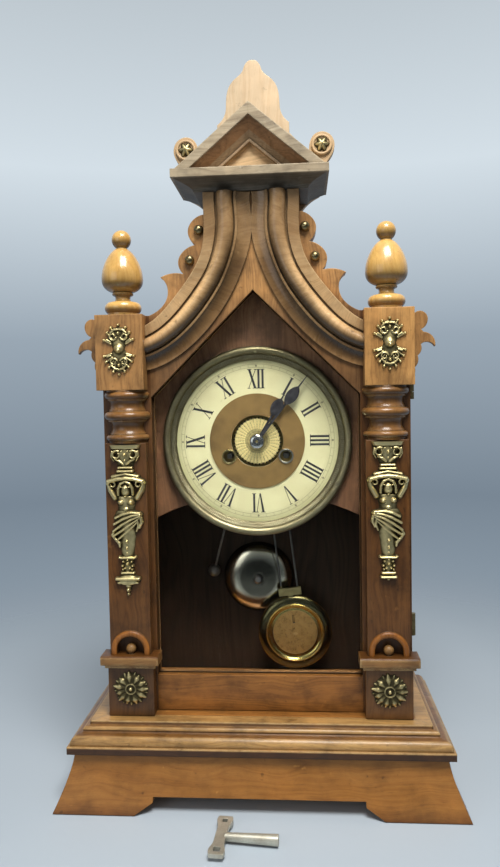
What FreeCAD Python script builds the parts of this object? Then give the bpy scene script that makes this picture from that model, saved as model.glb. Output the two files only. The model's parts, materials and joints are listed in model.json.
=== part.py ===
import FreeCAD, Part
import os
from math import sin, cos, asin, pi, radians, sqrt, atan2

V = FreeCAD.Vector

# Driving dimensions, millimetres. +Z is up, the front faces -Y, the origin is on the table
# under the middle of the plinth. Front planes are given as distances forward of the origin.

# plinth
flare = 15.0               # how far the skirt leans in between floor and lip
skirt_h = 43.7
skirt_t = 10.0             # skirt board thickness under the lip
cut_h = 12.6               # height of the cut-out between the feet
cut_step = 8.6             # height where the foot starts to slope in
foot_w = 66.3              # width of a foot on the floor
cut_splay = 14.2           # how much wider the cut-out is at the floor
lip_over = 5.2             # lip edge beyond the skirt's top
lip_t = 6.1
lip_behind = 6.5           # back edge of the lip behind the back board
moulding_h = 15.2
moulding_in = 15.4         # platform edge inside the lip edge
moulding_w = 12.0          # wood of the moulding behind the platform edge
plat_over = 13.8           # platform edge beyond the carcase
plat_ahead = 21.8          # platform edge ahead of the door frame

# carcase
case_half = 126.0          # outside half width of the carcase
side_t = 10.0
case_back = 58.0           # inside of the back board
back_t = 6.0
shoulder_t = 8.0
shoulder_over = 1.0        # shoulder board above the upper blocks
neck_half = 40.0           # outside half width of the neck under the cornice
neck_t = 8.0
neck_back = 10.0           # front of the crest board
crest_t = 8.0

# cornice and pediment
cornice_gap = 0.6          # cornice above the arch board
cornice_half = 62.7
cornice_front = 56.0
cove_h = 7.7
cove_out = 16.2            # projection of the cove
fillet_h = 6.8
ped_half = 60.1            # half width of the pediment
ped_h = 50.3               # pediment height
ped_front = 54.0
rake_t = 7.4               # thickness of the raking boards, square to the slope
panel_set = 13.0           # panel set back behind the rake
panel_t = 4.0
crest_h = 111.3            # crest above the cornice
ear_r = 9.0                # rosette on the crest's ear

# door frame
door_gap = 0.6             # door to carcase
door_lift = 0.5            # door to platform
frame_front = 36.0
frame_t = 16.0
door_over = 1.0            # stiles beyond the carcase
stile_w = 40.5
rail_h = 30.2
spring_down = 67.5         # foot of the pointed opening below the block tops
apex_rise = 86.6           # point of the opening above its foot
arch_rise = 97.5           # arch board above the block tops
glass_set = 5.0            # glass behind the frame face
glass_t = 1.6
rebate = 3.4
bead_t = 5.0
bead_w = 4.2
glass_play = 0.2           # glass edge to rebate

# pilasters
pil_half = 17.2
pil_t = 11.0
pil_h = 176.6
block_half = 19.1          # rosette block
block_t = 12.6
block_h = 41.2
neck_mould_h = 2.8         # small moulding under the ledge
ledge_half = 24.1
ledge_t = 18.6
ledge_h = 7.9
niche_r = 11.6
niche_rise = 3.8           # niche centre above the ledge
hood_r = 2.6               # half-round bead round the niche
niche_deep = 7.0
ball_r = 4.2
cap_r = 19.6               # largest radius of the capital
cap_set = 2.5              # capital axis behind the frame face
cap_h = 43.7
ublock_half = 19.6
ublock_t = 15.0
ublock_h = 61.3
ublock_out = 2.0           # upper blocks and finials outside the pilaster axis
scroll_t = 6.0
finial_h = 71.2
finial_back = 33.0         # finial axis forward of the origin
mount_t = 3.0              # cast mounts
stud_r = 4.0

# dial
dial_down = 39.5           # dial centre below the foot of the pointed opening
board_front = 8.0          # dial board face
board_t = 6.0
dial_r = 76.0
dial_t = 1.5
dial_hole = 22.5
centre_r = 41.2
centre_t = 0.8
bezel_in = 70.0
bezel_out = 81.5
bezel_h = 7.5
wind_x = 24.7
wind_drop = 13.3           # winding arbors below the dial centre
wind_hole = 5.2
wind_ring = 6.4
alarm_r = 21.2             # toothed alarm disc
alarm_root = 18.9
alarm_teeth = 40

# movement
plate_half = 48.0
plate_below = 62.0         # plates below and above the dial centre
plate_above = 82.0
plate_t = 1.8
plate_y = 4.0              # front face of the front plate
plate_gap = 22.2
run = 0.05                 # radial running clearance
end_play = 0.3
arbor_r = 1.5
pivot_r = 0.9
pillar_r = 3.0
wind_r = 3.0
wind_sq = 4.2
drum_r = 20.0
verge_above = 70.0         # verge and pendulum swing about this height above the dial centre
minute_deg = 38.3          # hands at about six minutes past one
hour_deg = 31.0
minute_len = 71.5
hour_len = 50.0

# pendulum, bell, hammer, key
pend_y = 38.0
pend_deg = 6.7             # the pendulum is caught swung to the right
bob_clear = 7.5            # bob above the platform when it hangs plumb
rod_gap = 15.2
rod_r = 0.9
bar_half = 10.6            # cross bar over the bob
bar_h = 7.0
bar_up = 3.9               # its middle above the bob
bob_r = 34.5
bob_t = 9.0
bob_dish = 2.4             # depth of the bob's dished middle
bob_ring = 26.5            # radius of the bead round it
token_r = 20.6             # disc in the middle
slot_w = 2.2
slot_low = 9.0             # slot in the disc, above its middle
slot_high = 16.6
bell_x = -4.8
bell_below = 135.3         # bell centre below the dial centre
bell_r = 33.7
bell_front = 46.0
bell_deep = 10.0
bell_wall = 1.5
bell_flat = 7.0            # flat seat in the middle of the bell
bell_bolt = 2.5
bell_nut = 4.4
bell_stem = 4.0            # post behind the bell
bell_base = 7.0            # its foot on the back board
hammer_x = -24.0
hammer_below = 54.0        # hammer arbor below the dial centre
head_out = 42.4            # hammer head beside the bell centre, and above it
head_up = 7.6
head_y = 49.0
head_r = 5.9
hinge_out = 3.0            # hinge pins beyond the stiles
knuckle_r = 2.4
pin_r = 1.2
leaf_t = 0.9
knuckle_h = 6.0
key_t = 3.2
key_len = 46.0
key_shaft = 40.0
key_r = 4.2
key_y = -112.0

# derived levels
z_lip = skirt_h
z_mould = z_lip + lip_t
z_plat = z_mould + moulding_h
plat_half, plat_front = case_half + plat_over, frame_front + plat_ahead
lip_half, lip_front = plat_half + moulding_in, plat_front + moulding_in
skirt_half, skirt_front = lip_half - lip_over, lip_front - lip_over
foot_half, foot_front = skirt_half + flare, skirt_front + flare
cut_half = foot_half - foot_w - cut_splay
lip_back = case_back + back_t + lip_behind
skirt_back = lip_back - lip_over
stile_half = case_half + door_over
open_half = stile_half - stile_w
axis_x = stile_half - stile_w / 2      # axis of pilasters and capitals
high_x = axis_x + ublock_out           # axis of upper blocks and finials
hinge_x = stile_half + hinge_out
door_z = z_plat + door_lift
yf, yb = -frame_front, frame_t - frame_front
case_front = yb + door_gap
rail_top = door_z + rail_h
ledge_z = door_z + block_h + neck_mould_h
pil_z = ledge_z + ledge_h
pil_top = pil_z + pil_h
ublock_z = pil_top + cap_h
ublock_top = ublock_z + ublock_h
shoulder_top = ublock_top + shoulder_over
case_top = shoulder_top - shoulder_t
spring_z = ublock_top - spring_down
apex_z = spring_z + apex_rise
arch_top = ublock_top + arch_rise
cornice_z = arch_top + cornice_gap
dial_z = spring_z - dial_down
plate_low, plate_high = dial_z - plate_below, dial_z + plate_above
verge_z = dial_z + verge_above
pend_len = verge_z - z_plat - bob_r - bob_clear
bell_z = dial_z - bell_below
hammer_z = dial_z - hammer_below
head_x, head_z = bell_x - head_out, bell_z + head_up
yd = -board_front
wind_z = dial_z - wind_drop
plate_f = plate_y + plate_t
plate_b = plate_f + plate_gap

os.makedirs("parts", exist_ok=True)


def put(name, *shapes):
    """Write one node, a solid or several like solids, to its STEP file."""
    solids = [s for shape in shapes for s in shape.Solids]
    out = solids[0] if len(solids) == 1 else Part.makeCompound(solids)
    out.exportStep("parts/%s.step" % name)


def box(x0, x1, y0, y1, z0, z1):
    return Part.makeBox(x1 - x0, y1 - y0, z1 - z0, V(x0, y0, z0))


def face(segments, at):
    """A flat face from a closed chain: two points make a line, three an arc, more a spline."""
    edges = []
    for seg in segments:
        pts = [at(a, b) for a, b in seg]
        if len(pts) == 2:
            edges.append(Part.makeLine(pts[0], pts[1]))
        elif len(pts) == 3:
            edges.append(Part.Arc(*pts).toShape())
        else:
            curve = Part.BSplineCurve()
            curve.interpolate(pts)
            edges.append(curve.toShape())
    return Part.Face(Part.Wire(edges))


def lines(pts):
    """Segments of a closed polygon."""
    return [[pts[i], pts[(i + 1) % len(pts)]] for i in range(len(pts))]


def slab_xz(segments, y0, y1):
    return face(segments, lambda a, b: V(a, y0, b)).extrude(V(0, y1 - y0, 0))


def slab_yz(segments, x0, x1):
    return face(segments, lambda a, b: V(x0, a, b)).extrude(V(x1 - x0, 0, 0))


def slab_xy(segments, z0, z1):
    return face(segments, lambda a, b: V(a, b, z0)).extrude(V(0, 0, z1 - z0))


def turn_z(segments, x, y):
    """A turned piece: (radius, height) profile about a vertical axis."""
    return face(segments, lambda r, z: V(x + r, y, z)).revolve(V(x, y, 0), V(0, 0, 1), 360)


def turn_y(segments, x, z):
    """A turned piece: (radius, y) profile about an axis that runs front to back."""
    return face(segments, lambda r, y: V(x + r, y, z)).revolve(V(x, 0, z), V(0, 1, 0), 360)


def cap(r, y, high, way=-1):
    """The arc of a spherical cap that stands high in front of y, or behind it."""
    big = (r * r + high * high) / (2 * high)
    half = asin(min(1.0, r / big)) / 2
    return [(r, y), (big * sin(half), y + way * (high - big + big * cos(half))), (0, y + way * high)]


def rod_y(x, z, r, y0, y1):
    return Part.makeCylinder(r, y1 - y0, V(x, y0, z), V(0, 1, 0))


def rod(p, q, r):
    p, q = V(*p), V(*q)
    return Part.makeCylinder(r, (q - p).Length, p, q - p)


def both(shape):
    """The right-hand piece and its mirror on the left."""
    return shape, shape.mirror(V(0, 0, 0), V(1, 0, 0))


def join(*shapes):
    return shapes[0].fuse(list(shapes[1:])).removeSplitter()


def gear(n, m, x, z, y0, y1, phase, add=0.85, ded=1.15, root=0.52, tip=0.22):
    """A spur wheel with straight-flanked teeth, one tooth at the angle phase."""
    pts = []
    pitch = 2 * pi / n
    ri, ro = m * (n / 2 - ded), m * (n / 2 + add)
    for k in range(n):
        a = phase + k * pitch
        for r, w in ((ri, -root), (ro, -tip), (ro, tip), (ri, root)):
            pts.append((x + r * cos(a + w * pitch / 2), z + r * sin(a + w * pitch / 2)))
    return slab_xz(lines(pts), y0, y1)


def mitre_zone(half, front, z0, z1):
    """The ground between the two corner mitres of a front board."""
    m, reach = half - front, half + 40
    return slab_xy(lines([(-reach, m - reach), (reach, m - reach), (0, m)]), z0 - 1, z1 + 1)


def swing(shape):
    """Turn a hanging piece from plumb to the photographed end of its swing."""
    return shape.rotated(V(0, 0, verge_z), V(0, 1, 0), -pend_deg)


# Plinth: a flared skirt mitred at the front corners, a lip board, a moulding and a platform.
bow = [(flare * (1 - t) ** 1.4, skirt_h * t) for t in (0, 0.12, 0.3, 0.55, 0.8, 1)]
front_run = slab_yz([[(-skirt_front - d, z) for d, z in bow],
                     [(-skirt_front, skirt_h), (skirt_back, skirt_h)],
                     [(skirt_back, skirt_h), (skirt_back, 0)], [(skirt_back, 0), (-foot_front, 0)]],
                    -foot_half, foot_half)
side_run = slab_xz([[(-skirt_half - d, z) for d, z in bow], [(-skirt_half, skirt_h), (skirt_half, skirt_h)],
                    [(skirt_half + d, z) for d, z in bow[::-1]], [(foot_half, 0), (-foot_half, 0)]],
                   -foot_front, skirt_back)
hollow = box(skirt_t - skirt_half, skirt_half - skirt_t, skirt_t - skirt_front, skirt_back + 1, -1,
             skirt_h + 1)
skirt = front_run.common(side_run).cut(hollow)
front_zone = mitre_zone(foot_half, foot_front, 0, skirt_h)
notch = [(-cut_half - cut_splay, -1), (-cut_half - cut_splay, 0), (-cut_half, cut_step), (-cut_half, cut_h),
         (cut_half, cut_h), (cut_half, cut_step), (cut_half + cut_splay, 0), (cut_half + cut_splay, -1)]
put("plinth_skirt_front", skirt.common(front_zone).cut(slab_xz(lines(notch), -foot_front - 1, 0)))
side_cut = 0.5 * cut_half
side_notch = [(-side_cut - cut_splay, -1), (-side_cut - cut_splay, 0), (-side_cut, cut_step),
              (-side_cut, cut_h), (side_cut, cut_h), (side_cut, cut_step), (side_cut + cut_splay, 0),
              (side_cut + cut_splay, -1)]
back_rail = box(skirt_t - skirt_half, skirt_half - skirt_t, skirt_back - skirt_t, skirt_back, cut_h, skirt_h)
side_gap = slab_yz(lines(side_notch), -foot_half - 1, foot_half + 1)
put("plinth_skirt_sides", skirt.cut(front_zone).cut(side_gap), back_rail)
put("plinth_lip_board", box(-lip_half, lip_half, -lip_front, lip_back, z_lip, z_mould))

# The moulding from lip to platform: ovolo, groove, bead and fillet.
mw, mh = moulding_in - 2.0, moulding_h
curve = [[(mw, 0), (mw, 0.10 * mh)], [(mw, 0.10 * mh), (0.84 * mw, 0.40 * mh), (0.50 * mw, 0.49 * mh)],
         [(0.50 * mw, 0.49 * mh), (0.40 * mw, 0.52 * mh)],
         [(0.40 * mw, 0.52 * mh), (0.34 * mw, 0.57 * mh), (0.36 * mw, 0.63 * mh)],
         [(0.36 * mw, 0.63 * mh), (0.26 * mw, 0.78 * mh), (0.08 * mw, 0.80 * mh)],
         [(0.08 * mw, 0.80 * mh), (0, 0.82 * mh)], [(0, 0.82 * mh), (0, mh)]]
mould_back = skirt_back
curve += [[(0, mh), (-moulding_w, mh)], [(-moulding_w, mh), (-moulding_w, 0)], [(-moulding_w, 0), (mw, 0)]]
front_run = slab_yz([[(-plat_front - d, z_mould + h) for d, h in s] for s in curve], -lip_half, lip_half)
side_run = slab_xz([[(plat_half + d, z_mould + h) for d, h in s] for s in curve], -lip_front, mould_back)
corner = mitre_zone(plat_half, plat_front, z_mould, z_plat)
put("plinth_moulding", front_run.common(corner), *both(side_run.cut(corner)))
bed_half, bed_front = plat_half - moulding_w, plat_front - moulding_w
put("plinth_top_board", box(-bed_half, bed_half, -bed_front, mould_back, z_mould, z_plat))

# Carcase: sides, back, shoulder board with the neck opening, neck sides.
in_half = case_half - side_t
peg_z = 0.5 * (rail_top + spring_z)
side = box(in_half, case_half, case_front, case_back, z_plat, case_top)
peg_x = side_t / 2 - case_half
peg_hole = rod_y(peg_x, peg_z, 2.6, case_front - 1, case_front + 8)
left_side = side.mirror(V(0, 0, 0), V(1, 0, 0)).cut(peg_hole)
put("case_sides", side, left_side)
put("back_board", box(-case_half, case_half, case_back, case_back + back_t, z_plat, case_top + shoulder_t))
neck_in = neck_half - neck_t
shoulders = box(-case_half, case_half, case_front, case_back, case_top, shoulder_top).cut(
    box(-neck_in, neck_in, case_front - 1, neck_back, case_top - 1, shoulder_top + 1))
neck_side = box(neck_in, neck_half, case_front, neck_back, shoulder_top, cornice_z)
put("case_shoulders", shoulders, *both(neck_side))

# Cornice: cove and fillet, mitred round three sides.
c1, c2 = cornice_z + cove_h, cornice_z + cove_h + fillet_h
bed = cove_out
sweep = [(bed, 0), (bed - 0.8, 0.22 * cove_h), (0.62 * bed, 0.62 * cove_h), (0.30 * bed, 0.86 * cove_h),
         (1.2, cove_h)]
cf, ch = -cornice_front, cornice_half
front_run = slab_yz([[(cf + d, cornice_z + h) for d, h in sweep], [(cf + 1.2, c1), (cf, c1)],
                     [(cf, c1), (cf, c2)], [(cf, c2), (neck_back, c2)],
                     [(neck_back, c2), (neck_back, cornice_z)],
                     [(neck_back, cornice_z), (cf + bed, cornice_z)]], -ch, ch)
side_run = slab_xz([[(ch - d, cornice_z + h) for d, h in sweep], [(ch - 1.2, c1), (ch, c1)],
                    [(ch, c1), (ch, c2)], [(ch, c2), (-ch, c2)], [(-ch, c2), (-ch, c1)],
                    [(-ch, c1), (1.2 - ch, c1)], [(d - ch, cornice_z + h) for d, h in sweep[::-1]],
                    [(bed - ch, cornice_z), (ch - bed, cornice_z)]], cf, neck_back)
put("cornice", front_run.common(side_run))

# Pediment: two raking boards, a splayed cove inside them, a fillet and a set-back panel.
slope = atan2(ped_h, ped_half)
drop = rake_t / cos(slope)
run_in = rake_t / sin(slope)
gable = slab_xz(lines([(-ped_half, c2), (0, c2 + ped_h), (ped_half, c2)]), -ped_front, neck_back)
inner = lines([(-ped_half + run_in, c2), (0, c2 + ped_h - drop), (ped_half - run_in, c2)])
half = box(0, ped_half, -ped_front, neck_back, c2, c2 + ped_h)
rakes = both(gable.cut(slab_xz(inner, -ped_front - 1, neck_back + 1)).common(half))


def shrunk(f):
    """The triangle inside the raking boards, shrunk to the fraction f about the middle of its foot."""
    return lines([(-f * (ped_half - run_in), c2), (0, c2 + f * (ped_h - drop)),
                  (f * (ped_half - run_in), c2)])


py0, py1 = -ped_front + 1.5, -ped_front + panel_set
py2 = py1 + panel_t
big = face(inner, lambda a, b: V(a, py0, b)).OuterWire
small = face(shrunk(0.63), lambda a, b: V(a, py1, b)).OuterWire
splay = slab_xz(inner, py0, py1).cut(Part.makeLoft([big, small], True, True))
fillet = slab_xz(shrunk(0.63), py1 - 1.4, py1).cut(slab_xz(shrunk(0.57), py1 - 2, py1 + 1))
sill = slab_xz(inner, py1, py2).cut(slab_xz(shrunk(0.57), py1 - 1, py2 + 1))
put("pediment", join(slab_xz(inner, py2, py2 + panel_t), sill, splay, fillet), *rakes)

# Crest board with scrolled ears, and a turned rosette on each ear.
ku, kv = ped_half / 60.1, crest_h / 111.3
dip = cornice_z - 7.1
crest_r = [[(0, 111.3), (3.4, 110.6), (5.6, 108.6), (7.6, 104.6)],
           [(7.6, 104.6), (9.6, 100.6), (16.2, 95.0), (21.4, 87.4), (23.2, 78.0), (23.6, 70.0)],
           [(23.6, 70.0), (26.2, 62.6), (31.5, 57.0)], [(31.5, 57.0), (31.5, 48.0)],
           [(31.5, 48.0), (48.8, 30.0)],
           [(48.8, 30.0), (49.4, 39.6), (53.2, 45.6), (59.5, 47.8), (67.2, 44.6), (70.6, 36.1), (67.6, 27.0),
            (61.4, 18.4), (58.0, 8.4), (57.0, 0)]]
crest_r = [[(x * ku, c2 + z * kv) for x, z in s] for s in crest_r]
crest_r += [[(57.0 * ku, c2), (57.0 * ku, c2 - 6.6)],
            [(57.0 * ku, c2 - 6.6), (48.0 * ku, cornice_z + 2.5), (neck_half, dip)],
            [(neck_half, dip), (neck_half, shoulder_top)]]
crest_l = [[(-x, z) for x, z in s[::-1]] for s in crest_r[::-1]]
crest = slab_xz(crest_r + [[(neck_half, shoulder_top), (-neck_half, shoulder_top)]] + crest_l, neck_back,
                neck_back + crest_t)
rose_y = neck_back
rosette = [[(0, rose_y), (ear_r, rose_y)], [(ear_r, rose_y), (ear_r, rose_y - 1.6)],
           [(ear_r, rose_y - 1.6), (0.89 * ear_r, rose_y - 2.8), (0.73 * ear_r, rose_y - 1.8)],
           [(0.73 * ear_r, rose_y - 1.8), (0.55 * ear_r, rose_y - 1.2)],
           cap(0.55 * ear_r, rose_y - 1.2, 3.4), [(0, rose_y - 4.6), (0, rose_y)]]
put("crest_board", crest, *both(turn_y(rosette, 59.5 * ku, c2 + 36.1 * kv)))

# Door frame: stiles, bottom rail and scalloped arch board round a pointed light.
light = [(-open_half, rail_top), (open_half, rail_top), (open_half, spring_z), (0, apex_z),
         (-open_half, spring_z)]


def grown(d):
    """The light's outline grown by d on every side."""
    rise = atan2(apex_z - spring_z, open_half)
    up = d / cos(rise)
    return lines([(-open_half - d, rail_top - d), (open_half + d, rail_top - d),
                  (open_half + d, spring_z + up - d * sin(rise) / cos(rise)), (0, apex_z + up),
                  (-open_half - d, spring_z + up - d * sin(rise) / cos(rise))])


glass_y = yf + glass_set
seat = slab_xz(grown(rebate), glass_y, yb + 1)
put("door_stiles", *both(box(open_half, stile_half, yf, yb, door_z, ublock_top).cut(seat)))
put("door_bottom_rail", box(-open_half, open_half, yf, yb, door_z, rail_top).cut(seat))
end_x = high_x - ublock_half
wide, tall = end_x / 89.1, arch_rise / 97.5
lobe1, lobe2 = (43.3 * wide, ublock_top + 68.3 * tall), (51.2 * wide, ublock_top + 44.1 * tall)
scallop = [[(39.2, 97.5), (39.2, 81.0)],
           [(39.2, 81.0), (47.8, 77.0), (52.4, 68.6), (50.2, 60.4), (46.6, 56.6)],
           [(46.6, 56.6), (55.4, 52.8), (60.9, 44.4), (59.6, 36.8), (57.0, 33.4)],
           [(57.0, 33.4), (66.0, 34.2), (76.2, 31.0)],
           [(76.2, 31.0), (70.6, 23.0), (71.4, 13.0), (77.6, 5.0), (86.5, 0)]]
scallop = [[(x * wide, ublock_top + z * tall) for x, z in s] for s in scallop]
scallop[-1][-1] = (open_half, ublock_top)
scallop += [[(open_half, ublock_top), (open_half, spring_z)], [(open_half, spring_z), (0, apex_z)]]
mirror_s = [[(-x, z) for x, z in s[::-1]] for s in scallop[::-1]]
head = [[(-39.2 * wide, arch_top), (39.2 * wide, arch_top)]]
put("arch_board", slab_xz(scallop + mirror_s + head, yf, yb).cut(seat))

# S-shaped mouldings on the arch board: one moulded section, carried down between two curves and
# widened as it goes.
outer_c = [(38.9, 97.5), (38.6, 81.0), (38.6, 67.0), (40.3, 54.0), (45.1, 40.6), (53.5, 27.4), (64.4, 13.6),
           (75.6, 1.2), (89.1, -8.6)]
inner_c = [(0.2, 97.5), (0.2, 79.0), (1.0, 58.0), (5.8, 41.5), (13.2, 23.5), (23.6, 5.5), (38.4, -13.4),
           (60.9, -33.0), (89.1, -45.2)]
section = [[(0, 0), (0, 5.2)], [(0, 5.2), (0.235, 5.2)], [(0.235, 5.2), (0.25, 2.8)],
           [(0.25, 2.8), (0.285, 2.8)], [(0.285, 2.8), (0.285, 5.0)],
           [(0.285, 5.0), (0.457, 10.0), (0.63, 5.0)], [(0.63, 5.0), (0.63, 2.8)],
           [(0.63, 2.8), (0.66, 2.8)], [(0.66, 2.8), (0.66, 5.6)], [(0.66, 5.6), (0.71, 5.6)],
           [(0.71, 5.6), (0.71, 4.6)], [(0.71, 4.6), (0.82, 2.7), (1, 2.2)], [(1, 2.2), (1, 0)],
           [(1, 0), (0, 0)]]


def across(o, i):
    """The moulded section between one point of the outer curve and one of the inner curve."""
    def at(t, h):
        return V((o[0] + (i[0] - o[0]) * t) * wide, yf - h, ublock_top + (o[1] + (i[1] - o[1]) * t) * tall)
    return face(section, at).OuterWire


put("arch_mouldings", *both(Part.makeLoft([across(o, i) for o, i in zip(outer_c, inner_c)], True, False)))


def stud(x, z, y, r):
    """A half-round brass stud with a short base."""
    return turn_y([[(0, y), (0.9 * r, y)], [(0.9 * r, y), (r, y - 0.5 * r)],
                   cap(r, y - 0.5 * r, 0.98 * r), [(0, y - 1.48 * r), (0, y)]], x, z)


put("brass_studs", *(both(stud(lobe1[0], lobe1[1], yf, stud_r)) + both(stud(lobe2[0], lobe2[1], yf, stud_r))))

# Pilasters with an arched niche at the foot, on a ledge over a rosette block.
py = yf - pil_t
nz = pil_z + niche_rise
shaft = box(axis_x - pil_half, axis_x + pil_half, py, yf, pil_z, pil_top)
hood_mid = niche_r + hood_r - 0.4
bow_top = Part.makeTorus(hood_mid, hood_r, V(axis_x, py, nz), V(0, 1, 0)).common(
    box(0, 2 * axis_x, py - hood_r, py + 0.5, nz, pil_top))
legs = [Part.makeCylinder(hood_r, nz - pil_z, V(axis_x + i * hood_mid, py, pil_z)).common(
    box(0, 2 * axis_x, py - hood_r, py + 0.5, pil_z, nz)) for i in (-1, 1)]
niche = rod_y(axis_x, nz, niche_r, py - 4, py + niche_deep).fuse(
    box(axis_x - niche_r, axis_x + niche_r, py - 4, py + niche_deep, pil_z - 1, nz))
put("pilasters", *both(join(shaft, bow_top, *legs).cut(niche)))
low_blocks = both(box(axis_x - block_half, axis_x + block_half, yf - block_t, yf, door_z, door_z + block_h))
lf = yf - ledge_t
under = box(axis_x - block_half - 2.2, axis_x + block_half + 2.2, yf - block_t - 2.4, yf, door_z + block_h,
            ledge_z)
ledge = box(axis_x - ledge_half, axis_x + ledge_half, lf, yf, ledge_z, pil_z)
front_edges = [e for e in ledge.Edges if abs(e.CenterOfMass.y - lf) < 0.01 and e.BoundBox.ZLength < 0.1]
ledge = ledge.makeFillet(2.0, front_edges)
shelves = both(join(ledge, under))
peg_r = ball_r / 2
ball_z = pil_z + 0.6 + sqrt(ball_r ** 2 - peg_r ** 2)
balls = both(turn_z([[(0, pil_z), (peg_r, pil_z)], [(peg_r, pil_z), (peg_r, pil_z + 0.6)],
                     [(peg_r, pil_z + 0.6), (ball_r, ball_z), (0, ball_z + ball_r)],
                     [(0, ball_z + ball_r), (0, pil_z)]], axis_x, py + 0.3 * niche_deep))
put("ledges", *(shelves + balls))

# Half-turned ring capitals.
k = cap_r / 19.6
ring = [[(0, 0), (16.4, 0)], [(16.4, 0), (16.4, 1.6)], [(16.4, 1.6), (18.5, 4.2), (16.4, 6.8)],
        [(16.4, 6.8), (15.4, 6.8)], [(15.4, 6.8), (15.4, 8.0)], [(15.4, 8.0), (13.6, 12.8), (15.6, 17.6)],
        [(15.6, 17.6), (16.6, 17.6)], [(16.6, 17.6), (16.6, 18.8)],
        [(16.6, 18.8), (19.6, 22.4), (16.6, 26.0)], [(16.6, 26.0), (15.8, 26.0)],
        [(15.8, 26.0), (15.8, 27.2)], [(15.8, 27.2), (14.6, 31.1), (15.8, 35.0)],
        [(15.8, 35.0), (16.6, 35.0)], [(16.6, 35.0), (16.6, 36.2)],
        [(16.6, 36.2), (19.2, 39.3), (17.0, 42.4)], [(17.0, 42.4), (17.6, 42.4)],
        [(17.6, 42.4), (17.6, 43.7)], [(17.6, 43.7), (0, 43.7)], [(0, 43.7), (0, 0)]]
ring = [[(r * k, pil_top + z * cap_h / 43.7) for r, z in s] for s in ring]
turned = turn_z(ring, axis_x, yf + cap_set)
put("capitals", *both(turned.common(box(0, 2 * axis_x, yf - 2 * cap_r, yf, pil_top, ublock_z))))

# Upper blocks, turned finials and fretted side scrolls.
high_blocks = both(box(high_x - ublock_half, high_x + ublock_half, yf - ublock_t, yf, ublock_z, ublock_top))
put("pilaster_blocks", *(low_blocks + high_blocks))
kf = finial_h / 71.2
tip_r, tip_z, tip_neck = 8.0, 63.2, 4.6
tip_foot = tip_z - sqrt(tip_r ** 2 - tip_neck ** 2)
profile = [[(0, 0), (13.0, 0)], [(13.0, 0), (13.0, 2.5)], [(13.0, 2.5), (15.2, 6.9), (12.4, 11.4)],
           [(12.4, 11.4), (7.2, 12.6)], [(7.2, 12.6), (6.2, 15.0), (6.8, 17.2)],
           [(6.8, 17.2), (8.8, 18.6), (7.6, 20.0)],
           [(7.6, 20.0), (12.9, 21.9), (16.3, 26.0), (17.1, 31.6), (15.9, 39.2), (12.7, 47.0), (8.8, 52.6),
            (5.6, 55.4)],
           [(5.6, 55.4), (tip_neck, 56.0)], [(tip_neck, 56.0), (tip_neck, tip_foot)],
           [(tip_neck, tip_foot), (tip_r, tip_z), (0, tip_z + tip_r)], [(0, tip_z + tip_r), (0, 0)]]
up = [[(r * kf, ublock_top + z * kf) for r, z in s] for s in profile]
put("finials", *both(turn_z(up, high_x, -finial_back)))
fret = [[(0, 4.6), (3.4, 8.4), (3.6, 14.0)], [(3.6, 14.0), (6.2, 18.0), (6.0, 23.6)],
        [(6.0, 23.6), (8.8, 27.4), (8.6, 32.6)], [(8.6, 32.6), (13.6, 34.6), (20.0, 30.8)],
        [(20.0, 30.8), (18.0, 38.8), (10.8, 42.6)], [(10.8, 42.6), (8.8, 44.8)],
        [(8.8, 44.8), (13.6, 49.6), (13.4, 56.2), (7.8, 59.6), (2.6, 57.2), (0, 54.4)],
        [(0, 54.4), (0, 4.6)]]
kb = ublock_h / 61.3
fret = [[(stile_half + x * kb, ublock_z + z * kb) for x, z in s] for s in fret]
put("side_scrolls", *both(slab_xz(fret, yf, yf + scroll_t)))

# Cast mounts: rosettes on the lower blocks, scroll mounts on the upper ones, figures on the pilasters.
ry = yf - block_t
mid = door_z + 0.57 * block_h
flower = turn_y([[(0, ry), (12.0, ry)], [(12.0, ry), (11.2, ry - 1.6), (7.6, ry - 2.2)],
                 [(7.6, ry - 2.2), (5.6, ry - 1.2)], cap(5.6, ry - 1.2, 3.0), [(0, ry - 4.2), (0, ry)]],
                axis_x, mid)
petals = [turn_y([[(0, ry), (4.6, ry)], cap(4.6, ry, 2.6), [(0, ry - 2.6), (0, ry)]],
                 axis_x + 11.2 * cos(i * pi / 4), mid + 11.2 * sin(i * pi / 4)) for i in range(8)]
put("block_rosettes", *both(join(flower, *petals)))
my = yf - ublock_t
mz = ublock_z + 0.53 * ublock_h
leafy = [(0, 21.6), (6.0, 20.4), (12.6, 17.8), (14.8, 11.6), (10.8, 6.6), (7.2, 3.0), (7.2, -3.0),
         (10.8, -6.6), (14.8, -11.6), (12.6, -17.8), (6.0, -20.4), (0, -21.6)]
plate = slab_xz([[(high_x + x, mz + z) for x, z in leafy], [(high_x - x, mz + z) for x, z in leafy[::-1]]],
                my - mount_t * 0.6, my)
knops = [stud(high_x + i * 8.2, mz + j * 12.4, my, 4.0) for i in (-1, 1) for j in (-1, 1)]
knops.append(stud(high_x, mz, my, 5.2))
put("block_mounts", *both(join(plate, *knops)))
kp = pil_h / 176.6
fig = [(13.2, 175.2), (12.0, 172.2), (12.4, 169.4), (8.4, 161.4), (7.6, 153.8), (12.8, 152.0),
       (16.0, 147.0), (14.4, 142.0), (9.6, 134.4), (8.2, 128.4), (7.4, 122.4), (11.8, 118.6), (12.2, 111.6),
       (10.4, 103.4), (8.0, 96.6), (6.2, 87.4), (6.6, 80.0), (7.2, 75.6), (5.4, 70.2)]
foot = {1: [(6.3, 68.0), (6.3, 64.2), (1.6, 63.4), (1.2, 61.6)],
        -1: [(5.6, 67.2), (10.5, 65.2), (10.5, 60.8), (5.0, 57.6), (2.4, 56.2), (2.2, 53.0), (1.2, 50.6)]}


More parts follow.
